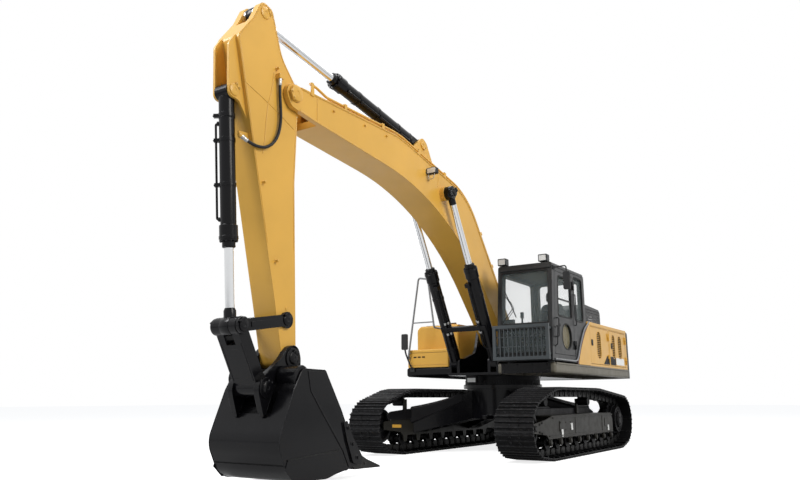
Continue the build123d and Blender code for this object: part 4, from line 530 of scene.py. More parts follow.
def bent_path(corners: Sequence[Point], bend: float, steps: int = 6) -> np.ndarray:
    """Path along straight runs with a round bend at each inner corner.

    Each bend is a quadratic curve: the corner pulls points between its two tangent places by
    (1-t)^2, 2t(1-t) and t^2.

    Args:
        corners: The runs' ends.
        bend: How far from a corner its bend begins.
        steps: Stretches of a bend.

    Returns:
        The path's points.
    """
    spots = np.array(corners, dtype=float)
    share = np.linspace(0, 1, steps + 1)[:, None]
    pieces = [spots[:1]]
    for before, here, after in zip(spots[:-2], spots[1:-1], spots[2:]):
        back, ahead = before - here, after - here
        reach = min(bend, np.linalg.norm(back) * 0.49, np.linalg.norm(ahead) * 0.49)
        first = here + back / np.linalg.norm(back) * reach
        last = here + ahead / np.linalg.norm(ahead) * reach
        pieces.append((1 - share) ** 2 * first + 2 * share * (1 - share) * here + share ** 2 * last)
    pieces.append(spots[-1:])
    return np.concatenate(pieces)


def pipe(corners: Sequence[Point], radius: float, bend: float = 0.06, sides: int = 10) -> Shell:
    """Round pipe along bent runs; its side axis is whichever world axis it follows least.

    Args:
        corners: The runs' ends.
        radius: The pipe's radius.
        bend: How far from a corner its bend begins.
        sides: Facets round the pipe.

    Returns:
        The pipe's shell.
    """
    path = bent_path(corners, bend)
    travel = np.abs(np.diff(path, axis=0)).max(axis=0)
    side = np.eye(3)[int(np.argmin(travel))]
    return swept(round_profile(radius, sides), path, side)


def axes_for(direction: np.ndarray) -> tuple[np.ndarray, np.ndarray, np.ndarray]:
    """Right-handed axes whose third is a given direction.

    Args:
        direction: The direction, of any length.

    Returns:
        Two directions square to it, and it at unit length.
    """
    along = direction / np.linalg.norm(direction)
    first = np.cross(np.eye(3)[int(np.argmin(np.abs(along)))], along)
    first = first / np.linalg.norm(first)
    return first, np.cross(along, first), along


def ring_spots(centre: Point, direction: np.ndarray, radius: float, count: int,
               turn: float = 0.0) -> np.ndarray:
    """Evenly spaced places on a circle round an axis.

    Args:
        centre: The circle's centre.
        direction: The axis.
        radius: The circle's radius.
        count: Number of places.
        turn: Angle by which all of them are turned.

    Returns:
        The places.
    """
    first, second, _ = axes_for(direction)
    angle = np.arange(count) * 2 * np.pi / count + turn
    return np.asarray(centre) + radius * (np.cos(angle)[:, None] * first + np.sin(angle)[:, None] * second)


def lathed(profile: Sequence[Span], centre: Point, direction: np.ndarray, sides: int = 40) -> Shell:
    """Turns a profile of (radius, height) round an axis.

    The point (i, j) is centre + height[i] * axis + radius[i] * (cos a[j] first + sin a[j] second).

    Args:
        profile: Radii and heights from the lower end to the upper end.
        centre: Where height is 0.
        direction: The axis.
        sides: Steps round the axis.

    Returns:
        The turned shell, closed at both ends.
    """
    ring = ring_spots((0.0, 0.0, 0.0), direction, 1.0, sides)
    sizes = np.array(profile, dtype=float)
    along = axes_for(direction)[2]
    points = np.asarray(centre) + sizes[:, None, 1:] * along + sizes[:, None, :1] * ring[None]
    return Shell(points.reshape(-1, 3), capped_faces(len(sizes), sides))


def plate(outline: Outline, origin: Point, first: np.ndarray, second: np.ndarray, thick: float) -> Shell:
    """Flat plate: an outline in two directions, pushed out along their cross product.

    Args:
        outline: Corners (a, b), anticlockwise in (first, second).
        origin: Where a = b = 0.
        first: Direction of a.
        second: Direction of b.
        thick: Thickness along first x second.

    Returns:
        The closed plate.
    """
    flat = np.array(outline, dtype=float)
    low = np.asarray(origin) + flat[:, :1] * first + flat[:, 1:] * second
    high = low + np.cross(first, second) * thick
    return Shell(np.concatenate([low, high]), capped_faces(2, len(flat)))


def side_plate(outline: Outline, low_y: float, high_y: float) -> Shell:
    """Plate whose outline lies in the side view.

    Args:
        outline: Corners (x, z), wound either way.
        low_y: Its right face.
        high_y: Its left face.

    Returns:
        The closed plate.
    """
    corners = np.array(outline, dtype=float)
    after = np.roll(corners, -1, axis=0)
    if np.sum(corners[:, 0] * after[:, 1] - after[:, 0] * corners[:, 1]) < 0:
        corners = corners[::-1]
    return plate(corners, (0.0, high_y, 0.0), FORWARD, UP, high_y - low_y)


def box(x: Span, y: Span, z: Span) -> Shell:
    """Upright box between limits in metres."""
    return plate(rectangle(x, y), (0.0, 0.0, z[0]), FORWARD, LEFT, z[1] - z[0])


def carried(shell: Shell, places: np.ndarray, first: np.ndarray, second: np.ndarray,
            third: np.ndarray) -> Shell:
    """Copies a shell into each of several right-handed frames.

    The point p of copy k is places[k] + p[0] * first[k] + p[1] * second[k] + p[2] * third[k].

    Args:
        shell: The shell in its own axes.
        places: n by 3 origins.
        first: n by 3 directions of its X, or one for all.
        second: The same for its Y.
        third: The same for its Z.

    Returns:
        All copies as one shell.
    """
    local = shell.points[None]
    x, y, z = (np.atleast_2d(axis)[:, None] for axis in (first, second, third))
    points = places[:, None] + local[..., :1] * x + local[..., 1:2] * y + local[..., 2:] * z
    count = len(shell.points)
    faces = [tuple(i + k * count for i in face) for k in range(len(places)) for face in shell.faces]
    return Shell(points.reshape(-1, 3), faces)


def repeated(shell: Shell, spots: np.ndarray) -> Shell:
    """Copies of a shell moved to each of several places, as one shell."""
    return carried(shell, spots, FORWARD, LEFT, UP)


def bolts(spots: Sequence[Point] | np.ndarray, direction: np.ndarray, size: float) -> Shell:
    """Hexagon bolt heads on washers, standing on a face.

    Args:
        spots: Where each bolt meets the face.
        direction: The face's outward direction.
        size: Half the width across the head's corners.

    Returns:
        All the heads as one shell.
    """
    origin = (0.0, 0.0, 0.0)
    washer = lathed([(size * 1.35, -size * 0.2), (size * 1.35, size * 0.22)], origin, direction, 14)
    head = lathed([(size, size * 0.2), (size, size * 0.85), (size * 0.8, size * 1.0)], origin, direction, 6)
    return repeated(joined([washer, head]), np.array(spots, dtype=float))


def rounded(corners: Outline, radius: float, steps: int = 5) -> np.ndarray:
    """Closed outline with each corner cut by a quadratic curve, as in bent_path.

    Args:
        corners: The sharp outline.
        radius: How far from a corner its curve begins, at most 0.49 of a side.
        steps: Stretches of a curve.

    Returns:
        The outline's points.
    """
    spots = np.array(corners, dtype=float)

    def tangent(other: np.ndarray) -> np.ndarray:
        """Where each curve meets the side towards the other corners."""
        away = other - spots
        far = np.linalg.norm(away, axis=1, keepdims=True)
        return spots + away / far * np.minimum(radius, far * 0.49)

    first, last = tangent(np.roll(spots, 1, axis=0)), tangent(np.roll(spots, -1, axis=0))
    t = np.linspace(0, 1, steps + 1)[None, :, None]
    curve = (1 - t) ** 2 * first[:, None] + 2 * t * (1 - t) * spots[:, None] + t ** 2 * last[:, None]
    return curve.reshape(-1, 2)


def rectangle(across: Span, up: Span, radius: float = 0.0) -> Outline:
    """Rectangle between two limits each way, with its corners rounded where a radius is given."""
    corners = [(across[0], up[0]), (across[1], up[0]), (across[1], up[1]), (across[0], up[1])]
    return rounded(corners, radius) if radius > 0 else corners


def filleted(corners: Sequence[tuple[float, ...]], steps: int = 10) -> np.ndarray:
    """Closed outline (x, z) with true arcs at the corners that have a radius.

    An arc starts radius / tan(half the corner's angle) before the corner.

    Args:
        corners: (x, z) or (x, z, radius), anticlockwise.
        steps: Stretches of an arc.

    Returns:
        The outline's points.
    """
    spots = np.array([c[:2] for c in corners])
    radii = np.array([c[2] if len(c) > 2 else 1e-4 for c in corners])
    back, ahead = np.roll(spots, 1, axis=0) - spots, np.roll(spots, -1, axis=0) - spots
    back /= np.linalg.norm(back, axis=1, keepdims=True)
    ahead /= np.linalg.norm(ahead, axis=1, keepdims=True)
    half = np.arccos(np.clip(np.sum(back * ahead, axis=1), -1, 1)) / 2
    reach = radii / np.tan(half)
    first, last = spots + back * reach[:, None], spots + ahead * reach[:, None]
    bisector = back + ahead
    bisector /= np.linalg.norm(bisector, axis=1, keepdims=True)
    centre = spots + bisector * (radii / np.sin(half))[:, None]
    start, end = first - centre, last - centre
    sweep = np.arctan2(start[:, 0] * end[:, 1] - start[:, 1] * end[:, 0], np.sum(start * end, axis=1))
    angle = sweep[:, None] * np.linspace(0, 1, steps + 1)[None]
    cos, sin = np.cos(angle)[..., None], np.sin(angle)[..., None]
    turned = cos * start[:, None] + sin * np.stack([-start[:, 1], start[:, 0]], axis=1)[:, None]
    return (centre[:, None] + turned).reshape(-1, 2)


def oval(across: Span, up: Span, radius: float, steps: int = 10) -> np.ndarray:
    """Rectangle between two limits each way, with true arcs of one radius at its corners."""
    return filleted([(*corner, radius) for corner in rectangle(across, up)], steps)


def reach_along(line: np.ndarray) -> np.ndarray:
    """Distance of each point of an open line from its start."""
    return np.concatenate([[0.0], np.cumsum(np.linalg.norm(np.diff(line, axis=0), axis=1))])


def spaced(line: np.ndarray, count: int) -> np.ndarray:
    """A number of points evenly spaced along an open line."""
    reach = reach_along(line)
    at = np.linspace(0, reach[-1], count)
    return np.stack([np.interp(at, reach, column) for column in line.T], axis=1)


def resampled(line: np.ndarray, step: float, fewest: int = 2) -> np.ndarray:
    """The same open line with points about a step apart."""
    return spaced(line, max(int(reach_along(line)[-1] / step), fewest))


def inset(line: np.ndarray, depth: float) -> np.ndarray:
    """An anticlockwise run (x, z) moved to its left, which is inwards."""
    ahead = np.gradient(line, axis=0)
    ahead /= np.linalg.norm(ahead, axis=1, keepdims=True)
    return line + np.stack([-ahead[:, 1], ahead[:, 0]], axis=1) * depth


def at_y(line: Outline, y: float) -> np.ndarray:
    """Points (x, z) as places on an upright plane."""
    flat = np.array(line, dtype=float)
    return np.stack([flat[:, 0], np.full(len(flat), y), flat[:, 1]], axis=1)


def bead(corners: Sequence[Point] | np.ndarray, size: float, side: np.ndarray) -> Shell:
    """Weld bead: a low ridge along a line, whose half width drifts as 1 + sin(2.1 i) / 10.

    Args:
        corners: The line's points.
        size: Half width of the ridge.
        side: Direction that the bead's width follows.

    Returns:
        The bead, half sunk in what it joins.
    """
    sides = 7
    path = resampled(np.array(corners, dtype=float), size * 2.2, 6)
    shell = swept(round_profile(size, sides), path, side)
    waves = 1.0 + 0.10 * np.sin(np.arange(len(path)) * 2.1)
    offsets = shell.points.reshape(len(path), sides, 3) - path[:, None]
    return Shell((path[:, None] + offsets * waves[:, None, None]).reshape(-1, 3), shell.faces)


def ring_seal(path: np.ndarray, normal: np.ndarray, half: float = 0.011, proud: float = 0.006) -> Shell:
    """Rubber seal round an opening: a flat oval section carried along a closed path.

    Args:
        path: n by 3 places on the opening's rim.
        normal: Outward direction of the panel.
        half: Half width of the seal on the panel.
        proud: How far it stands out and in.

    Returns:
        The closed ring.
    """
    return swept(round_profile(1.0, 8) * np.array((proud, half)), path, normal, closed=True)


def pin_cap(x: float, z: float, y: float, radius: float, turn: float) -> Shell:
    """End of a pivot pin on the left: its chamfered head, a keeper plate and two bolts.

    Args:
        x: The pin's place.
        z: The pin's height.
        y: Face that the head stands on.
        radius: The head's radius.
        turn: Direction of the keeper plate from the pin.

    Returns:
        The cap's shell.
    """
    head = lathed([(radius, -0.002), (radius, 0.010), (radius * 0.86, 0.016), (radius * 0.30, 0.016),
                   (radius * 0.26, 0.011)], (x, y, z), LEFT, 36)
    out, side = np.array((math.cos(turn), math.sin(turn))), np.array((-math.sin(turn), math.cos(turn)))
    middle = np.array((x, z)) + out * radius * 0.98
    ends = [middle + side * a * radius * 0.62 + out * b * radius * 0.24
            for a, b in ((-1, -1), (1, -1), (1, 1), (-1, 1))]
    keeper = side_plate(rounded(ends, radius * 0.1), y + 0.004, y + 0.022)
    spots = at_y([middle + side * a * radius * 0.38 for a in (-1, 1)], y + 0.022)
    return joined([head, keeper, bolts(spots, LEFT, radius * 0.13)])


# Studio


@dataclass
class Studio:
    """Camera, floor and lights.

    Attributes:
        camera_place: Where the photograph was taken from.
        heading_deg: Direction of view from +X towards +Y.
        rise_deg: Direction of view above level.
        roll_deg: Turn of the picture.
        focal_px: Focal length in pixels of the 800 pixel wide picture.
        width_px: Width of the picture.
        sensor_mm: Sensor width.
        floor_half: Half the floor's edge.
        floor_white: Light that the floor adds for the camera, so that only its shadows show.
        glossy_share: Share of that light that reflections see.
        lamps: Name, place, aim, edge of the square in metres, watts and colour of each lamp.
    """

    camera_place: Point = (11.996, 5.609, 0.901)
    heading_deg: float = 213.112
    rise_deg: float = 12.583
    roll_deg: float = 0.172
    focal_px: float = 711.02
    width_px: float = 800.0
    sensor_mm: float = 36.0
    floor_half: float = 90.0
    floor_white: float = 0.80
    glossy_share: float = 0.35
    lamps: tuple[tuple[str, Point, Point, float, float, Colour], ...] = (
        ("key", (5.0, 15.0, 11.0), (1.0, 0.0, 2.5), 8.0, 1950.0, (1.0, 0.97, 0.92)),
        ("front", (13.0, -5.0, 12.0), (0.6, -0.6, 1.8), 6.0, 1650.0, (0.98, 0.98, 1.0)),
        ("top", (0.0, 0.0, 14.0), (1.0, 0.0, 0.0), 9.0, 800.0, WHITE),
        ("far_rim", (-9.0, -13.0, 8.0), (0.0, 0.0, 2.0), 7.0, 500.0, WHITE),
    )

    def camera(self) -> None:
        """Sets up the camera at the photograph's place and angle."""
        data = bpy.data.cameras.new("photo_camera")
        data.sensor_width = self.sensor_mm
        data.lens = self.focal_px * self.sensor_mm / self.width_px
        data.clip_end = 300.0
        obj = linked("photo_camera", data)
        obj.location = self.camera_place
        obj.rotation_mode = "XYZ"
        obj.rotation_euler = (math.radians(90.0 + self.rise_deg), math.radians(self.roll_deg),
                              math.radians(self.heading_deg - 90.0))
        bpy.context.scene.camera = obj

    def floor(self) -> None:
        """Pale floor that the camera sees as near white, keeping the object's shadow."""
        paint = Paint("pale_floor")
        sweep = paint.ramp(paint.noise(0.15), 0.3, 0.7)
        colour = paint.mix(sweep, (0.50, 0.50, 0.50), (0.52, 0.52, 0.52))
        paint.link(colour, paint.shader.inputs["Base Color"])
        paint.set(paint.shader, Roughness=0.9, Specular_IOR_Level=0.0, Emission_Color=(*WHITE, 1.0))
        rays = paint.add("LightPath").outputs
        glossy = paint.maths("MULTIPLY", rays["Is Glossy Ray"], self.glossy_share)
        through = paint.maths("MAXIMUM", glossy, rays["Is Transmission Ray"])
        seen = paint.maths("MAXIMUM", rays["Is Camera Ray"], through)
        paint.link(paint.maths("MULTIPLY", seen, self.floor_white), paint.shader.inputs["Emission Strength"])
        limits = (-self.floor_half, self.floor_half)
        mesh = bpy.data.meshes.new("floor")
        mesh.from_pydata([(x, y, 0.0) for x, y in rectangle(limits, limits)], [], [(0, 1, 2, 3)])
        mesh.materials.append(paint.material)
        linked("floor", mesh)

    def world(self) -> None:
        """Even surround: plain light on the object, white to the camera and in reflections."""
        world = bpy.data.worlds.new("surround")
        world.use_nodes = True
        bpy.context.scene.world = world
        bench = Bench(world.node_tree)
        rays = bench.add("LightPath").outputs
        direct = bench.maths("MAXIMUM", rays["Is Camera Ray"], rays["Is Transmission Ray"])
        mixer = bench.add("MixShader")
        bench.link(bench.maths("MAXIMUM", direct, rays["Is Glossy Ray"]), mixer.inputs["Fac"])
        for place, colour, strength in ((1, (0.88, 0.93, 1.0), 0.34), (2, WHITE, 1.0)):
            light = bench.add("Background", Color=(*colour, 1.0), Strength=strength)
            bench.link(light.outputs[0], mixer.inputs[place])
        bench.link(mixer.outputs[0], bench.add("OutputWorld").inputs["Surface"])

    def lamp(self, name: str, place: Point, aim: Point, size: float, power: float, colour: Colour) -> None:
        """Adds a soft square lamp.

        Args:
            name: The lamp's name.
            place: Where it hangs.
            aim: What it points at.
            size: Edge of its square.
            power: Watts.
            colour: Linear colour.
        """
        data = bpy.data.lights.new(name, "AREA")
        data.size, data.energy, data.color = size, power, colour
        obj = linked(name, data)
        obj.location = place
        step = np.array(aim) - np.array(place)
        flat = math.hypot(step[0], step[1])
        obj.rotation_euler = (math.atan2(flat, -step[2]), 0.0, math.atan2(step[1], step[0]) - math.pi / 2)

    def build(self) -> None:
        """Builds the whole studio."""
        self.camera()
        self.floor()
        self.world()
        for lamp in self.lamps:
            self.lamp(*lamp)
        bpy.context.scene.view_settings.view_transform = "Standard"


# Hose


@dataclass
class BucketHose:
    """Hose from the block on the arm's side to the fitting beside the bucket cylinder.

    Attributes:
        route: Places that the hose follows, from its block to its fitting.
        diameter: Outside diameter.
        length: Real length between the two ends; not used.
        ferrule: Radii and heights of the crimped ferrule on each end.
    """

    route: tuple[Point, ...] = (
        (6.270, 0.205, 4.575), (6.270, 0.205, 4.425), (6.246, 0.205, 4.245), (6.230, 0.205, 4.062),
        (6.262, 0.205, 3.882), (6.350, 0.205, 3.742), (6.470, 0.205, 3.662), (6.600, 0.203, 3.638),
        (6.700, 0.166, 3.672), (6.768, 0.134, 3.720),
    )
    diameter: float = 0.036
    length: float = 1.33
    ferrule: tuple[Span, ...] = (
        (0.026, 0.0), (0.026, 0.026), (0.0225, 0.030), (0.0225, 0.078), (0.0195, 0.084),
    )

    def build(self) -> None:
        """Builds the hose as a curve and the ferrules on its ends."""
        curve = bpy.data.curves.new("arm_hose", "CURVE")
        curve.dimensions = "3D"
        curve.bevel_depth = self.diameter / 2
        curve.bevel_resolution = 4
        curve.use_fill_caps = True
        spline = curve.splines.new("NURBS")
        spline.points.add(len(self.route) - 1)
        spline.points.foreach_set("co", np.array([(*p, 1.0) for p in self.route]).ravel())
        spline.order_u = 3
        spline.use_endpoint_u = True
        spline.resolution_u = 8
        curve.materials.append(Look.RUBBER.material())
        hose = linked("arm_hose", curve)
        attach(hose, "arm")
        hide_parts("bucket_hose")
        ends = [lathed(self.ferrule, here, np.array(inwards) - np.array(here), 16)
                for here, inwards in (self.route[:2], self.route[:-3:-1])]
        joined(ends).piece("arm_hose_ferrules", "arm", Look.STEEL, "rubber")


# Undercarriage


@dataclass
class Track:
    """One track: shoes with three grousers, chain links, pins and bolts, round its discs.

    Attributes:
        side: 1 for the left track, -1 for the right one.
        discs: (x, z, radius) of the pin line round the rollers, idler and sprocket.
        pitch: Wanted distance between pins.
        gauge: Distance between the two tracks' centre planes.
        width: Width of a shoe.
        link_height: Height of a chain link.
        plate_thick: Thickness of a shoe.
        grouser: Height of a grouser.
        pin_x: A shoe's pin from the shoe's middle.
    """

    side: int
    discs: tuple[Point, ...] = (
        (-1.696, 0.240, 0.144), (1.716, 0.240, 0.144), (2.085, 0.470, 0.324),
        (1.450, 0.850, 0.126), (-0.520, 0.850, 0.126), (-2.007, 0.509, 0.344),
    )
    pitch: float = 0.216
    gauge: float = 2.594
    width: float = 0.600
    link_height: float = 0.112
    plate_thick: float = 0.014
    grouser: float = 0.026
    pin_x: float = 0.108

    def loop(self) -> np.ndarray:
        """Dense closed line of the pins, run against the clock in the side view."""
        discs = np.array(self.discs)
        step = np.roll(discs, -1, axis=0) - discs
        far = np.hypot(step[:, 0], step[:, 1])
        along = step[:, :2] / far[:, None]
        lean = -step[:, 2] / far
        square = np.stack([along[:, 1], -along[:, 0]], axis=1)
        outward = along * lean[:, None] + square * np.sqrt(1 - lean ** 2)[:, None]
        before = np.roll(outward, 1, axis=0)
        start = np.arctan2(before[:, 1], before[:, 0])
        turn = (np.arctan2(outward[:, 1], outward[:, 0]) - start) % (2 * np.pi)
        angle = start[:, None] + turn[:, None] * np.linspace(0, 1, 25)[None, :]
        ring = discs[:, None, :2] + discs[:, None, 2:] * np.stack([np.cos(angle), np.sin(angle)], axis=-1)
        line = ring.reshape(-1, 2)
        return np.concatenate([line, line[:1]])

    def frames(self) -> tuple[np.ndarray, np.ndarray, np.ndarray, np.ndarray]:
        """Where the shoes lie. Each is a chord from one pin to the next.

        Returns:
            The shoes' places and their axes: along the chain, across it and outwards.
        """
        line = self.loop()
        pins = spaced(line, round(reach_along(line)[-1] / self.pitch) + 1)
        along = at_y(pins[1:] - pins[:-1], 0.0)
        along = along / np.linalg.norm(along, axis=1, keepdims=True)
        places = at_y((pins[1:] + pins[:-1]) / 2, self.side * self.gauge / 2)
        across = np.tile(-LEFT, (len(along), 1))
        return places, along, across, np.cross(along, across)

    def shoe(self) -> Shell:
        """One shoe: its bent plate and three grousers as one profile, drawn across the track."""
        low = self.link_height / 2
        top, tip = low + self.plate_thick, low + self.plate_thick + self.grouser
        crests = [(g + step, top if abs(step) > 0.01 else tip)
                  for g in (0.084, 0.004, -0.078) for step in (0.017, 0.006, -0.006, -0.017)]
        outline = [(-0.104, low), (0.100, low), (0.118, low - 0.006), (0.152, low - 0.030),
                   (0.158, low - 0.024), (0.126, low + 0.001), (0.116, top),
                   *crests, (-0.100, top), (-0.107, low + 0.006)]
        return plate(outline, (0.0, self.width / 2, 0.0), FORWARD, UP, self.width)

    def link(self) -> Shell:
        """The four half links, the pin and the bush of one shoe."""
        low, pin = self.link_height / 2, (self.pin_x, 0.0, 0.0)
        angles = np.radians(np.linspace(-68, 68, 9))
        nose = [(self.pin_x + 0.049 * math.cos(angle), 0.049 * math.sin(angle)) for angle in angles]
        half = np.array([(-0.012, -low), (0.078, -low), *nose, (0.078, low), (-0.012, low)])
        pieces = []
        for outer, inner in (((-0.0915, -0.069), (-0.069, -0.0465)), ((0.069, 0.0915), (0.0465, 0.069))):
            pieces += [side_plate(half, *outer), side_plate(half * (-1, 1), *inner)]
        shaft = [(0.021, -0.099), (0.023, -0.096), (0.023, 0.096), (0.021, 0.099)]
        bush = [(0.034, -0.046), (0.034, 0.046)]
        return joined([*pieces, lathed(shaft, pin, LEFT, 14), lathed(bush, pin, LEFT, 16)])

    def build(self) -> None:
        """Builds the track and puts it in the place of its solid."""
        frames = self.frames()
        name = "left" if self.side > 0 else "right"
        shoes = carried(self.shoe(), *frames).piece(f"shoes_{name}", "undercarriage", Look.IRON, "track")
        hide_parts(f"track_{name}")
        carried(self.link(), *frames).piece(f"chain_{name}", "undercarriage", Look.CHAIN, "track")
        top = self.link_height / 2 + self.plate_thick
        heads = bolts([(x, y, top) for x in (-0.037, 0.044) for y in (-0.069, 0.069)], UP, 0.0125)
        carried(heads, *frames).piece(f"shoe_bolts_{name}", "undercarriage", Look.IRON, "track")


@dataclass
class TrackFrame:
    """Bolts, covers and guards on one track frame, its sprocket, idler and rollers.

    Attributes:
        side: 1 for left, -1 for right.
        face_y: Outer face of the frame's plates on the left.
        drive_y: Outer face of the final drive.
        sprocket: (x, z) of the sprocket's shaft.
        idler: (x, z) of the idler's shaft.
        rollers_x: First and last bottom roller.
        pads: x, low z and high z of the small pale pads.
    """

    side: int
    face_y: float = 1.462
    drive_y: float = 1.485
    sprocket: Span = (-2.007, 0.509)
    idler: Span = (2.085, 0.470)
    rollers_x: Span = (-1.480, 1.500)
    pads: tuple[Point, ...] = ((0.975, 0.320, 0.430), (0.545, 0.405, 0.512), (-1.345, 0.330, 0.430))

    def drive(self) -> Shell:
        """Bolt circles, drain plugs and a raised cover on the final drive."""
        (x, z), out = self.sprocket, self.drive_y
        pieces = [lathed([(0.118, 0.0), (0.118, 0.010), (0.090, 0.018), (0.060, 0.018), (0.055, 0.012)],
                         (x, out, z), LEFT)]
        for depth, radius, count, turn, size in (
                (0.076, 0.205, 20, 0.0, 0.014), (0.030, 0.190, 16, 0.1, 0.011), (0.0, 0.134, 10, 0.0, 0.010)):
            pieces.append(bolts(ring_spots((x, out - depth, z), LEFT, radius, count, turn), LEFT, size))
        for angle in (-1.2, 0.4, 2.4):
            spot = (x + 0.085 * math.cos(angle), out + 0.014, z + 0.085 * math.sin(angle))
            pieces.append(lathed([(0.018, -0.004), (0.018, 0.010), (0.012, 0.014)], spot, LEFT, 6))
        return joined(pieces)

    def idler_bits(self) -> Shell:
        """Bearing cap and bolts of the idler."""
        x, z = self.idler
        middle = (x, self.face_y, z)
        beside = [(x - 0.17, z - 0.055), (x - 0.17, z + 0.055), (x - 0.26, z - 0.075), (x - 0.26, z + 0.075)]
        return joined([bolts(ring_spots(middle, LEFT, 0.046, 4, 0.78), LEFT, 0.012),
                       lathed([(0.030, -0.004), (0.030, 0.012), (0.024, 0.018)], middle, LEFT, 24),
                       bolts(at_y(beside, self.face_y), LEFT, 0.014)])

    def plates(self) -> Shell:
        """Roller end caps, stiffeners, a cover plate and bolts on the frame's outer face."""
        y = self.face_y
        rollers = np.linspace(*self.rollers_x, 8)
        pieces = [lathed([(0.040, -0.002), (0.040, 0.012), (0.030, 0.018)], (x, y, 0.2403), LEFT, 20)
                  for x in rollers]
        pieces.append(bolts([(x + dx, y, 0.292) for x in rollers for dx in (-0.030, 0.030)], LEFT, 0.012))
        cover = [(x, y + 0.009, z) for x in (0.65, 0.87, 1.09) for z in (0.42, 0.53)]
        pieces.append(bolts(cover, LEFT, 0.009))
        strips = (
            (rectangle((0.62, 1.12), (0.395, 0.555), 0.03), 0.009),
            (rectangle((-1.55, 1.40), (0.600, 0.616)), 0.018),
            ([(-1.55, 0.318), (1.55, 0.336), (1.55, 0.350), (-1.55, 0.332)], 0.014),
            (rectangle((-1.42, -1.12), (0.40, 0.56), 0.05), 0.006),
        )
        pieces += [side_plate(outline, y - 0.001, y + out) for outline, out in strips]
        pieces += [bead([(x, y, 0.345), (x, y, 0.598)], 0.007, FORWARD) for x in (-0.98, 0.40)]
        return joined(pieces)

    def pale_pads(self) -> Shell:
        """The small pale pads on the frame's outer face."""
        outlines = [rounded([(x, low), (x + 0.075, low), (x + 0.085, high), (x + 0.010, high)], 0.012)
                    for x, low, high in self.pads]
        return joined([side_plate(outline, self.face_y + 0.008, self.face_y + 0.012) for outline in outlines])

    def build(self) -> None:
        """Builds the pieces of this side."""
        name = "left" if self.side > 0 else "right"
        for shell, label, look, slot, bevel in (
                (self.drive(), "final_drive_bolts", Look.CASTING, "cast", 0.0),
                (self.idler_bits(), "idler_caps", Look.CASTING, "cast", 0.0),
                (self.plates(), "frame_plates", Look.FRAME, "black_paint", 0.0),
                (self.pale_pads(), "frame_pads", Look.LENS, "rail", 0.002)):
            on_side(shell, self.side).piece(f"{label}_{name}", "undercarriage", look, slot, bevel)


@dataclass
class SlewBearing:
    """Bolt circle and seal ribs of the slewing bearing, and the small plates near it.

    Attributes:
        circle: Radius of the bolt circle.
        bolt_z: Face that the bolts stand on.
        seal: Radius of the ribbed seal.
        seal_z: Foot of its ribs.
        ribs: Number of ribs.
    """

    circle: float = 0.680
    bolt_z: float = 1.130
    seal: float = 0.660
    seal_z: float = 1.145
    ribs: int = 96

    def build(self) -> None:
        """Builds the bolts, the ribs, the tag on the right idler arm and the tab in front."""
        spots = ring_spots((0.0, 0.0, self.bolt_z), UP, self.circle, 40)
        bolts(spots, UP, 0.013).piece("slew_bolts", "undercarriage", Look.CASTING, "cast")
        rib = box((-0.012, 0.012), (-0.006, 0.010), (0.0, 0.07))
        angle = np.arange(self.ribs) * 2 * np.pi / self.ribs
        out = np.cos(angle)[:, None] * FORWARD + np.sin(angle)[:, None] * LEFT
        carried(rib, out * self.seal + UP * self.seal_z, -np.cross(UP, out), out, UP).piece(
            "slew_seal_ribs", "undercarriage", Look.CASTING, "cast")
        tag = rounded([(1.63, 0.425), (1.90, 0.437), (1.90, 0.487), (1.63, 0.475)], 0.01)
        side_plate(tag, -1.1325, -1.1275).piece("yellow_tag", "undercarriage", Look.YELLOW, "yellow_paint")
        tab = joined([box((0.845, 0.895), (-0.260, -0.070), (1.165, 1.2870)),
                      bolts([(0.895, -0.235, 1.265), (0.895, -0.095, 1.265)], FORWARD, 0.009)])
        tab.piece("front_tab", "house", Look.BLACK, "black_paint", bevel=0.004)
        face = box((0.8945, 0.8995), (-0.241, -0.088), (1.175, 1.245))
        face.piece("front_plate", "house", Look.LENS, "rail")


